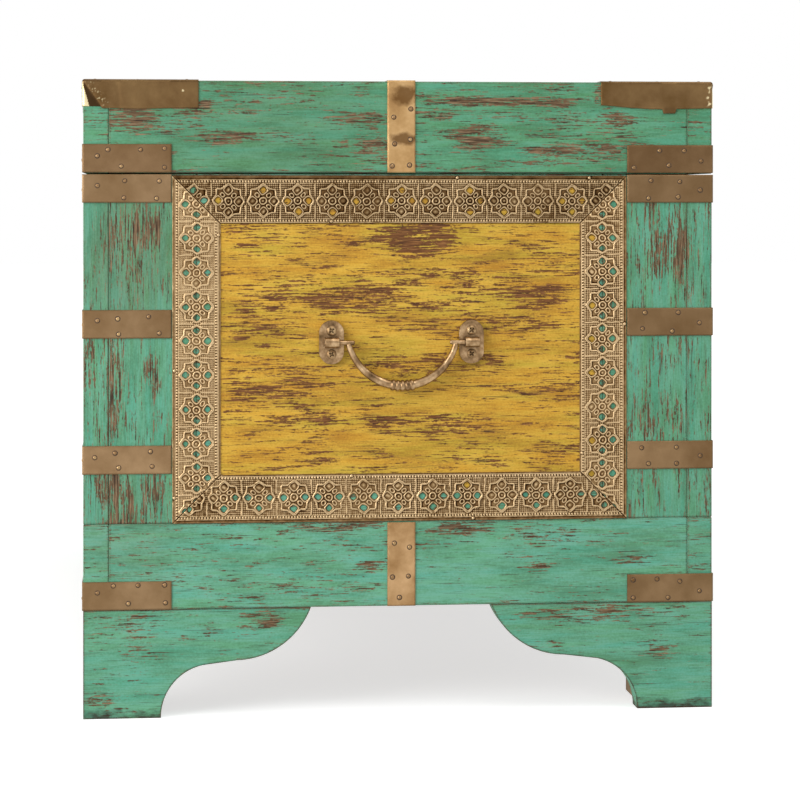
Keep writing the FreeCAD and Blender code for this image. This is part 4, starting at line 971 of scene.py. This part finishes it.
# A strip's length, the die's shift to the inner edge, the place of a motif and the pitch in
# millimetres, the share of pierced lobes and a seed. Each strip's colour is multiplied by its
# share under SHADE and darkened by its share in the table after it, or lightened below 0: both
# are painted shade for how the light from the left falls on each side of the frame.
STRIPS = {
    "top": (frame_width, 1.0, 0.0, 24.6, 0.5, 101),
    "left": (frame_height, 0.1, 5.9, 24.2, 0.85, 202),
    "bottom": (frame_width, 0.6, 2.2, 24.77, 0.5, 303),
    "right": (frame_height, 0.6, -6.0, 24.17, 0.8, 404),
}
SHADE = {"top": 0.68, "left": 0.8, "bottom": 0.78, "right": 0.84}
EXTRA_SHADE = {"top": 0.1, "left": -0.08, "bottom": 0.03, "right": 0.0}
embossed_finish = embossed_brass()
strip_meshes = {}
for place_name, settings in STRIPS.items():
    mesh = embossed_strip(f"embossed_{place_name}_strip", *settings)
    mesh.materials.append(embossed_finish)
    strip_meshes[place_name] = mesh
print({name: len(mesh.polygons) for name, mesh in strip_meshes.items()})

# %% [markdown]
# The four frames were pressed with one die, so all use these four strips. The frame's middle
# and the directions of its face place them: a quarter turn for each side in order.

# %% Nail the strips on
FRAMES = {
    "right_embossed_frame": (Vector((0, 1, 0)), Vector((1, 0, 0))),
    "left_embossed_frame": (Vector((0, -1, 0)), Vector((-1, 0, 0))),
    "front_right_embossed_frame": (Vector((1, 0, 0)), Vector((0, -1, 0))),
    "front_left_embossed_frame": (Vector((1, 0, 0)), Vector((0, -1, 0))),
}
for node, (across, out) in FRAMES.items():
    low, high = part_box(node)
    up = Vector((0, 0, 1))
    face = (HALF_LENGTH if out.x else HALF_DEPTH) * MM
    middle = (low + high) / 2
    middle -= out * middle.dot(out)
    turn = Matrix((across, up, out)).transposed().to_4x4()
    for index, (place_name, mesh) in enumerate(strip_meshes.items()):
        rise = (frame_height if index % 2 == 0 else frame_width) / 2 * MM
        place = (Matrix.Translation(middle + out * face) @ turn
                 @ Matrix.Rotation(math.radians(90 * index), 4, "Z")
                 @ Matrix.Translation((0, rise, 0)))
        strip = piece(f"{node}_{place_name}", mesh, "carcass", "embossed_brass", node, place=place)
        strip["strip_shade"], strip["strip_extra_shade"] = SHADE[place_name], EXTRA_SHADE[place_name]
print(len(FRAMES) * len(STRIPS), "embossed strips")

# %% [markdown]
# ## Nail heads
#
# The straps are held by short nails with small domed heads, driven by eye. A dark ring lies
# round each, partly dirt where no cloth gets to and partly painted shade at the head's foot, and
# a head with its ring is 3.8 mm across. The heads are turned from a short profile of radius and
# height, and one is set wherever the frame has a nail: the loose parts of the nails' node give
# their places and directions.

# %% The places of the nails
# Radius and height of a head as shares of its own radius, with the dark ring of dirt and
# painted shade at the end.
NAIL_SHARES = np.array([(0.0, 0.32), (0.2, 0.31), (0.42, 0.27), (0.56, 0.2), (0.67, 0.08),
                        (0.72, 0.01), (0.88, 0.06), (1.02, 0.01)])
DARK_RING_FROM, NAIL_SIDES = 4, 14


def loose_parts(node):
    """The low and high corner of every separate part of a node."""
    solid = bmesh.new()
    solid.from_mesh(nodes[node].data)
    bmesh.ops.remove_doubles(solid, verts=solid.verts, dist=0.00001)
    seen, boxes = set(), []
    for start in solid.verts:
        if start in seen:
            continue
        group, waiting = [], [start]
        seen.add(start)
        while waiting:
            vertex = waiting.pop()
            group.append(vertex.co.copy())
            for edge in vertex.link_edges:
                other = edge.other_vert(vertex)
                if other not in seen:
                    seen.add(other)
                    waiting.append(other)
        corners = np.array(group)
        boxes.append((corners.min(0) / MM, corners.max(0) / MM))
    solid.free()
    return boxes


def set_heads(name, node, body, slot_name, finishes, radius, height, seed, dark_ring_from=99):
    """One mesh of heads over the loose parts of a node, sized by each part's own radius."""
    draw = np.random.default_rng(seed)
    rings, sides = height.shape
    angles = np.arange(sides) * 2 * np.pi / sides
    quads = tube_quads(rings, sides)[:, [0, 3, 2, 1]]
    parts = []
    for low, high in loose_parts(node):
        axis = int(np.argmin(high - low))
        sign = 1.0 if low[axis] + high[axis] > 0 else -1.0
        base = (low + high) / 2
        base[axis] = low[axis] if sign > 0 else high[axis]
        size = (high - low).max() / 2 * draw.uniform(0.93, 1.05)
        spin = draw.uniform(0, 2 * np.pi)
        lean = draw.normal(0, 0.03, 2)
        first = size * radius[:, None] * np.cos(angles + spin)
        second = size * radius[:, None] * np.sin(angles + spin) * sign
        up = np.maximum(size * height + lean[0] * first + lean[1] * second, 0.01)
        point = np.empty((rings, sides, 3))
        one, two = [k for k in range(3) if k != axis]
        if axis == 1:
            first, second = second, first
        point[..., one], point[..., two] = base[one] + first, base[two] + second
        point[..., axis] = base[axis] + sign * up
        parts.append((point.reshape(-1, 3), quads))
    mesh = array_mesh(name, *joined(parts))
    for finish in finishes:
        mesh.materials.append(finish)
    darkened = np.tile(np.repeat(np.arange(rings - 1) >= dark_ring_from, sides), len(parts))
    mesh.polygons.foreach_set("material_index", darkened.astype(np.int32))
    piece(name, mesh, body, slot_name, node)
    print(name, len(parts))


# %% [markdown]
# The heads are the same brass, rubbed brighter because they stand out. The dark ring of dirt
# and painted shade is not metal at all: dark, matt and brown.

# %% Nail finishes
nail_brass = brass_sheet("rubbed brass nail heads", ("#6f5334", "#8f7150", "#b09468"), 6.0, 3.0,
                         0.1, (0.36, 0.48), 0.3)
# The dark ring round each head is partly dirt and partly painted shade.
grime, dark_ring_tree = new_material("dirt and painted shade round the nails")
blotches = streaks(dark_ring_tree, board_place(dark_ring_tree)[0], "X", 2, 2)
blotches = add(dark_ring_tree, "ValToRGB", {"Fac": blotches}, ((0.35, "#2c1f13"), (0.65, "#5b4229")))
add(dark_ring_tree, "OutputMaterial", {"Surface": add(
    dark_ring_tree, "BsdfPrincipled", {"Base Color": blotches, "Roughness": 0.7})})
nail_height = np.repeat(NAIL_SHARES[:, 1:], NAIL_SIDES, axis=1)
for node, body, seed in (("body_nails", "carcass", 31), ("lid_nails", "lid", 32)):
    set_heads(f"{node}_heads", node, body, "brass_nails", (nail_brass, grime),
              NAIL_SHARES[:, 0], nail_height, seed, DARK_RING_FROM)

# %% [markdown]
# ## Drop handles
#
# Each handle is cast: two plates with a lug, and a bow that swings in them. The casting was
# tumbled and left rough, so it is a grey brown bronze with soft edges, roughness near 0.35. The
# bow thickens towards the middle, where five rings were turned into it. It is one tube along an
# arc whose radius changes on the way, which is simpler than welding rings on.

# %% Cast bronze
bronze = brass_sheet("cast bronze", ("#533f2a", "#907352", "#c2a47e"), 9.0, 5.0, 0.24,
                     (0.26, 0.42), 0.4, 4.0)

# %% The bow and its pins
PIVOT = np.array([HALF_LENGTH + 8.0, 0.0, 264.5])
BOW_HALF_WIDTH, BOW_DROP = 38.4, 30.7
COLLAR_LENGTH, COLLAR_RINGS = 17.0, 5
# The rod's radius at its ends and how much it thickens, then the same for the collar.
ROD_RADIUS, ROD_SWELL, COLLAR_RADIUS, COLLAR_SWELL = 2.05, 1.0, 2.7, 1.4
ROD_ROUNDING = 1.6
PIN_INNER, PIN_OUTER = 33.8, 55.0
# How far in from a pin's end each radius is.
PIN_ROUNDING = ((0, 0.0), (0.1, 0.9), (0.5, 1.4), (1.2, 1.6))


def lathe(profile, centre, sides=20):
    """Points and quads of a piece turned about a line along Y, from (y, radius) pairs."""
    angles = np.arange(sides) * 2 * np.pi / sides
    y, radius = np.array(profile, float).T
    ring = np.stack([np.cos(angles), 0 * angles, np.sin(angles)], -1)
    points = centre + radius[:, None, None] * ring + y[:, None, None] * np.array([0, 1, 0])
    return points.reshape(-1, 3), tube_quads(len(y), sides)


def bow(centre):
    """The bow of one handle round its pivot line, closed and rounded at both ends."""
    radius = (BOW_HALF_WIDTH ** 2 + BOW_DROP ** 2) / (2 * BOW_DROP)
    far = math.asin(BOW_HALF_WIDTH / radius)
    rings, sides = 181, 24
    angle = np.linspace(-far, far, rings)
    travel = angle * radius
    rod = ROD_RADIUS + ROD_SWELL * np.clip((1 - np.abs(angle) / far) * 1.5, 0, 1)
    ring_pitch = COLLAR_LENGTH / COLLAR_RINGS
    swell = np.sqrt(np.clip(1 - (2 * np.abs((travel / ring_pitch + 0.5) % 1 - 0.5)) ** 2, 0, 1))
    collar = COLLAR_RADIUS + COLLAR_SWELL * swell
    rod = np.where(np.abs(travel) < COLLAR_LENGTH / 2, collar, rod)
    from_end = np.clip((far - np.abs(angle)) * radius / ROD_ROUNDING, 0, 1)
    rod = rod * np.sqrt(np.maximum(1 - (1 - from_end) ** 2, 0))
    middle = centre + np.stack(
        [0 * angle, radius * np.sin(angle), radius - BOW_DROP - radius * np.cos(angle)], -1)
    outward = np.stack([0 * angle, np.sin(angle), -np.cos(angle)], -1)
    turn = np.arange(sides) * 2 * np.pi / sides
    points = (middle[:, None] + rod[:, None, None] * (
        np.cos(turn)[None, :, None] * outward[:, None]
        + np.sin(turn)[None, :, None] * np.array([1.0, 0, 0])))
    return points.reshape(-1, 3), tube_quads(rings, sides)


def handle(side):
    """All that swings in one handle: the bow and the pins that it hangs from."""
    centre = PIVOT * [side, 1, 1]
    parts = [bow(centre)]
    for sign in (-1, 1):
        inner, outer = sorted((sign * PIN_INNER, sign * PIN_OUTER))
        parts.append(lathe([(inner + y, radius) for y, radius in PIN_ROUNDING]
                           + [(outer - y, radius) for y, radius in PIN_ROUNDING[::-1]], centre))
    return joined(parts)


for name, side in (("right_bail", 1), ("left_bail", -1)):
    mesh = array_mesh(f"{name}_bow", *handle(side))
    mesh.materials.append(bronze)
    piece(f"{name}_bow", mesh, name, "cast_bronze", name)
print("2 bows")

# %% [markdown]
# ## Softer edges on the metal from the frame
#
# Plates from the frame have sharp edges, and no real edge is sharp: a casting is rounded by its
# mould and a sawn plate by a file. A Weld modifier joins the faces and a Bevel modifier rounds
# what is left of the corners, without touching the mesh itself.


# %% Round the edges
def round_edges(node, width):
    """Rounds a node's sharp edges by a width in millimetres."""
    weld = nodes[node].modifiers.new("weld", "WELD")
    weld.merge_threshold = 0.00001
    bevel = nodes[node].modifiers.new("rounded", "BEVEL")
    bevel.width, bevel.segments = width * MM, 3
    bevel.limit_method, bevel.angle_limit = "ANGLE", math.radians(35)
    bevel.harden_normals = False


hinge_steel = brass_sheet("brown steel", ("#4a4038", "#6d6152", "#857766"), 12.0, 8.0, 0.15,
                          (0.4, 0.58))
# The finish, its slot, the rounding in millimetres and the nodes.
METALWORK = [
    (bronze, "cast_bronze", 1.1, ["right_handle_mounts", "left_handle_mounts"]),
    (strap_brass, "plain_brass", 0.25, ["hinge_body_leaves", "hinge_lid_leaves", "hasp_plate",
                                        "hasp_leaf"]),
    (strap_brass, "plain_brass", 0.3, ["lid_staple"]),
    (hinge_steel, "dull_steel", 0.2, ["hinge_pins", "hasp_pin"]),
]
for finish, slot_name, width, names in METALWORK:
    for name in names:
        dress(name, finish)
        round_edges(name, width)
    print(slot_name, width, "mm:", *names)

# %% [markdown]
# ## Screws
#
# The screws have low round heads with a ring turned into them and a cross struck in the middle.
# Like the nails, they are one profile set at each loose part of the frame's node. The cross
# can't be turned, so it is pressed into a finer grid of heights.

# %% Screw heads
# The cross, as shares of the head's radius, and the points round the head.
CROSS_HALF_WIDTH, CROSS_REACH, CROSS_DEPTH, SCREW_SIDES = 0.13, 0.55, 0.3, 48
screw_radius = np.concatenate([np.linspace(0, 0.64, 14), [0.7, 0.74, 0.8, 0.85, 0.93, 0.99, 1.0]])
spokes = np.arange(SCREW_SIDES) * 2 * np.pi / SCREW_SIDES
across_x = np.abs(screw_radius[:, None] * np.cos(spokes))
across_y = np.abs(screw_radius[:, None] * np.sin(spokes))
screw_height = 0.42 * np.sqrt(1 - 0.98 * screw_radius[:, None] ** 4) * np.ones((1, SCREW_SIDES))
screw_height -= 0.1 * np.exp(-((screw_radius[:, None] - 0.77) / 0.04) ** 2)
in_cross = np.maximum(
    np.clip((CROSS_HALF_WIDTH - across_x) / 0.05, 0, 1) * (across_y < CROSS_REACH),
    np.clip((CROSS_HALF_WIDTH - across_y) / 0.05, 0, 1) * (across_x < CROSS_REACH))
screw_height -= CROSS_DEPTH * in_cross
screw_bronze = brass_sheet("rubbed screw heads", ("#72583c", "#997c58", "#c0a47c"), 4.0, 3.0, 0.1,
                           (0.3, 0.4), 0.2, 2.6)
for node, body, seed in (("body_screws", "carcass", 51), ("lid_screws", "lid", 52)):
    set_heads(f"{node}_heads", node, body, "dull_steel", (screw_bronze,), screw_radius,
              screw_height, seed)

# %% [markdown]
# ## The caps on the lid's corners
#
# Each cap is one piece of thin sheet, laid on the corner with its point inwards and folded down
# over both faces. On one face the spare sheet is tucked under the fold like wrapping paper: the
# fold's edge runs down at a slant, and beside it a painted shadow marks the gap and a painted
# highlight the sliver of the tucked sheet. On the other face the sheet is plain, crumpled at the
# corner, with painted highlights on the crumples, and torn at the bottom. It is made as three
# grids that share their edges: the top, the face with the fold and the plain face.
#
# Every point is worked out twice, on the wood's rounded corner and a height above it. The
# rounding takes a point on a sharp corner and moves it onto a ball of small radius inside it.

# %% Grids of one cap
# The sheet's length along the lid, the fold's radius and the sheet's height over the wood.
CAP_LENGTH, CAP_FOLD, CAP_SHEET = 81.0, 1.1, 0.8
# How broad the top is at each distance from the corner, how far along the fold's edge is at each
# depth, and how deep each face hangs at each distance from the corner.
CAP_POINT = ([0, 16, 36, 81], [81, 81, 36, 16])
FOLD_LINE = ([1.2, 18.1], [0.3, 12.6])
FOLD_DROP = ([0, 12.4, 13.0, 40, 81], [18.4, 18.6, 19.7, 20.2, 19.2])
PLAIN_DROP = ([0, 26.3, 26.8, 35.6, 36.2, 47.8, 58, 76, 81],
              [18.4, 19.0, 22.2, 22.3, 19.2, 19.0, 18.4, 16.8, 16.5])
along = np.concatenate([np.linspace(0, 3, 9)[:-1], np.linspace(3, CAP_LENGTH, 157)])
down = np.concatenate([np.linspace(0, 0.16, 8)[:-1], np.linspace(0.16, 1, 34)])


def smooth_step(value, low, high):
    """0 below the low limit, 1 above the high one and an S curve between."""
    share = np.clip((value - low) / (high - low), 0, 1)
    return share * share * (3 - 2 * share)


def on_corner(sharp, height):
    """Points on a sharp outer corner, rounded and lifted by a height along their normals."""
    core = np.minimum(sharp, -CAP_FOLD)
    normal = sharp - core
    normal /= np.maximum(np.linalg.norm(normal, axis=-1, keepdims=True), 1e-9)
    return core + (CAP_FOLD + height)[..., None] * normal


def cap_top():
    """The sharp points, the height, and the painted light and tone of the sheet on top."""
    breadth = np.interp(along, *CAP_POINT)[:, None] * (along / CAP_LENGTH)
    reach = along[:, None] + 0 * breadth
    inwards = smooth_step(np.minimum(reach, breadth), 0, 8)
    height = CAP_SHEET + inwards * (0.14 * ripple(reach, breadth, 24, 61)
                                    + 0.06 * ripple(reach, breadth, 6, 62))
    return np.stack([-reach, -breadth, 0 * reach], -1), height, 0.0 * height


def cap_fold():
    """The face with the slanting fold, with its painted shadow and highlights."""
    depth = np.interp(along, *FOLD_DROP)[:, None] * down
    reach = along[:, None] + 0 * depth
    fold = np.interp(depth, *FOLD_LINE)
    sliver = 0.2 + 4.1 * np.clip((depth - 3.4) / 15, 0, 1)
    over = smooth_step(reach - fold, -0.35, 0.15)
    under = 0.2 + 0.6 * (1 - smooth_step(reach, 0.5 * sliver, sliver + 0.2))
    crumple = smooth_step(reach - fold, 0.2, 1.5) * (1 - smooth_step(reach - fold, 3, 9))
    lifted = CAP_SHEET + 0.45 * np.exp(-np.maximum(reach - fold, 0) / 6)
    lifted += 0.22 * crumple * ripple(reach, depth, 4.5, 63) + 0.1 * ripple(reach, depth, 15, 64)
    lifted -= 0.3 * np.exp(-((reach - 23.5 - 0.1 * depth) / 1.5) ** 2)
    lifted -= 0.22 * np.exp(-((reach - 34) / 2.5) ** 2)
    height = np.where(depth < 1.2, lifted, under + (lifted - under) * over)
    height = CAP_SHEET + (height - CAP_SHEET) * (
        smooth_step(depth, 0, 2.2) * smooth_step(reach, 0, 0.8))
    # The tone paints a shadow in the gap beside the fold and a highlight on the tucked sliver. The
    # flecks on the crumples and the one speck are painted highlights, and the line at the top is
    # darker.
    tucked = (1 - over) * (depth > 1.2)
    tone = tucked * np.where(reach < sliver, 0.85, -0.8)
    flecks = np.clip(1.8 * ripple(reach, depth, 3, 65) - 1.0, 0, 0.4) * crumple
    tone = tone + over * flecks + 0.6 * (np.hypot(reach - 69.9, depth - 7.2) < 0.8)
    tone = np.where(depth < 0.9, -0.5, tone)
    return np.stack([0 * reach, -reach, -depth], -1), height, tone


def cap_plain():
    """The plain face, crumpled at the corner with painted highlights and torn at the bottom."""
    depth = np.interp(along, *PLAIN_DROP)[:, None] * down
    reach = along[:, None] + 0 * depth
    crumple = (1 - smooth_step(reach, 2.5, 5)) * smooth_step(depth, 2, 4)
    crumple = crumple * (1 - smooth_step(depth, 15, 18))
    height = CAP_SHEET + smooth_step(depth, 0, 3) * smooth_step(reach, 0, 2) * (
        0.1 * ripple(reach, depth, 20, 66) + 0.35 * crumple * ripple(reach, depth, 4, 67))
    # Painted highlights on the crumples; the top line and a band at the tear are darker.
    tone = np.clip(2.0 * ripple(reach, depth, 3.2, 68) - 0.5, 0, 0.8) * crumple
    tone = np.where(depth < 0.9, -0.5, tone)
    tone -= 0.25 * (1 - smooth_step(np.abs(reach - 31), 3, 5)) * smooth_step(depth, 17, 19)
    return np.stack([-reach, 0 * reach, -depth], -1), height, tone


# %% [markdown]
# The three grids meet in the same points along the folds, so joining is a matter of finding the
# points that agree and numbering them once. Then every open edge gets a wall down to the wood.
# The other corners take the same cap, a quarter turn further each.

# %% Join the grids and set the four caps
def cap_mesh(name):
    """One cap, its corner at the origin, its fold face at +X and its plain face at -Y."""
    outer, inner, tones, quads, total = [], [], [], [], 0
    for sharp, height, tone in (cap_top(), cap_fold(), cap_plain()):
        rows, columns = height.shape
        lifted, low = on_corner(sharp, height), on_corner(sharp, 0 * height + 0.02)
        cells = grid_quads(rows, columns)
        flat = lifted.reshape(-1, 3)
        middle = cells[len(cells) // 2]
        outward = np.cross(flat[middle[1]] - flat[middle[0]], flat[middle[3]] - flat[middle[0]])
        if outward @ (flat[middle[0]] - low.reshape(-1, 3)[middle[0]]) < 0:
            cells = cells[:, ::-1]
        outer.append(flat)
        inner.append(low.reshape(-1, 3))
        tones.append(tone.ravel())
        quads.append(cells + total)
        total += rows * columns
    outer, inner, tones = np.concatenate(outer), np.concatenate(inner), np.concatenate(tones)
    _, first, same = np.unique(outer.round(3), axis=0, return_index=True, return_inverse=True)
    quads = same.ravel()[np.concatenate(quads)]
    outer, inner, tones = outer[first], inner[first], tones[first]
    points, quads, rim = skirt(outer, quads, inner)
    points = points * [1, -1, 1]
    return array_mesh(name, points, quads[:, ::-1], tone=np.concatenate([tones, tones[rim]]))


# The caps get a lighter painted shade towards the back.
cap_brass = brass_sheet("dark brass sheet of the caps", ("#5d4527", "#6d5436", "#7d6341"),
                        26.0, 16.0, back="#f6f4f0")
cap = cap_mesh("lid_corner_cap")
cap.materials.append(cap_brass)
for index, (x, y) in enumerate(((1, -1), (1, 1), (-1, 1), (-1, -1))):
    corner = Vector((x * HALF_LENGTH, y * HALF_DEPTH, LID_TOP)) * MM
    place = Matrix.Translation(corner) @ Matrix.Rotation(math.radians(90 * index), 4, "Z")
    made = piece(f"lid_corner_cap_{index + 1}", cap, "lid", "plain_brass", "lid_corner_caps",
                 place=place)
    set_apart(made)
print(len(cap.polygons), "faces in each cap")

# %% [markdown]
# ## Studio
#
# The chest stands on a plain white floor with nothing behind it. The light is soft and comes
# mostly from the left, as the bright folds of the straps show, with white all round. The floor
# and the world look pure white to the camera through Light Path, while the light that falls on
# the chest stays at a level where a colour looks as written. The floor is half glow and half
# chalk to the camera, so the shadow under the chest still shows, and stays a pale grey.

# %% Floor and world
FLOOR_SIZE = 24
GLOW_FROM, GLOW_TO = 0.9, 1.6


def seen_directly(tree):
    """1 for what the camera sees, straight or mirrored, and 0 for light on its way."""
    ray = add(tree, "LightPath").outputs
    return add(tree, "Math", {0: ray["Is Camera Ray"], 1: ray["Is Glossy Ray"]},
               operation="MAXIMUM")


bpy.ops.mesh.primitive_plane_add(size=FLOOR_SIZE, location=(0, 0, 0))
floor = bpy.context.object
floor.name = "studio_floor"
paper, tree = new_material("white studio paper")
away = add(tree, "VectorMath", {0: add(tree, "TexCoord").outputs["Object"]}, operation="LENGTH")
glow = add(tree, "MapRange", {"Value": away.outputs["Value"], "From Min": GLOW_FROM,
                              "From Max": GLOW_TO, "To Min": 0.652, "To Max": 1.0})
shown = add(tree, "AddShader", {
    0: add(tree, "BsdfDiffuse", {"Color": linear("#cccccc")}),
    1: add(tree, "Emission", {"Color": linear("#ffffff"), "Strength": glow})})
lit = add(tree, "BsdfDiffuse", {"Color": linear("#c4c4c4")})
add(tree, "OutputMaterial", {"Surface": add(
    tree, "MixShader", {0: seen_directly(tree), 1: lit, 2: shown})})
floor.data.materials.append(paper)

world = bpy.data.worlds.new("white studio")
bpy.context.scene.world = world
world.use_nodes = True
tree = world.node_tree
tree.nodes.clear()
strength = add(tree, "MapRange", {"Value": seen_directly(tree), "To Min": 0.46, "To Max": 1.0})
add(tree, "OutputWorld", {"Surface": add(
    tree, "Background", {"Color": linear("#ffffff"), "Strength": strength})})
print("a floor", FLOOR_SIZE, "m wide under a white world")


# %% [markdown]
# Three soft boxes light the chest. The large one on the left gives the shading across the end,
# a low one rakes over the embossed strips and nails and brings out their relief, and one above
# fills the top. All are about a metre or more wide, which keeps their shadows soft.

# %% Lamps
def lamp(name, place, target, size, watts):
    """A square soft box aimed at a point."""
    light = bpy.data.lights.new(name, "AREA")
    light.size, light.energy = size, watts
    made = bpy.data.objects.new(name, light)
    bpy.context.scene.collection.objects.link(made)
    made.location = place
    made.rotation_euler = (Vector(target) - Vector(place)).to_track_quat("-Z", "Y").to_euler()
    print(name, watts, "W")


lamp("soft box on the left", (1.9, -2.1, 1.1), (0.3, 0, 0.25), 1.4, 42)
lamp("raking soft box", (0.75, -2.0, 0.45), (0.45, 0, 0.25), 0.9, 14)
lamp("soft box above", (1.2, 0.6, 2.4), (0.3, 0, 0.25), 1.8, 24)

# %% [markdown]
# ## Camera
#
# The photograph was taken square to the right end from a little left of its middle. Its upright
# lines are parallel, so the camera was level, and the lines that run along Y are level at about
# four fifths of the chest's height, so that is how high it stood. A level camera at that height
# needs a lens shift to bring the feet into the picture. The place, the turn, the lens and the
# shift below were solved from the corners of the end and the edges of the straps.

# %% Camera
CAMERA_DISTANCE, CAMERA_SIDE, CAMERA_HEIGHT, CAMERA_TURN = 1800.0, -178.4, 366.1, 5.63
CAMERA_LENS, CAMERA_SHIFT, SENSOR_WIDTH = 114.26, -0.251, 36
camera_data = bpy.data.cameras.new("camera")
camera_data.lens, camera_data.sensor_width = CAMERA_LENS, SENSOR_WIDTH
camera_data.shift_y = CAMERA_SHIFT
camera = bpy.data.objects.new("camera", camera_data)
bpy.context.scene.collection.objects.link(camera)
camera.location = Vector((HALF_LENGTH + CAMERA_DISTANCE, CAMERA_SIDE, CAMERA_HEIGHT)) * MM
turn = math.radians(CAMERA_TURN)
ahead = Vector((-math.cos(turn), math.sin(turn), 0))
camera.rotation_euler = ahead.to_track_quat("-Z", "Y").to_euler()
bpy.context.scene.camera = camera
bpy.context.scene.view_settings.view_transform = "Standard"
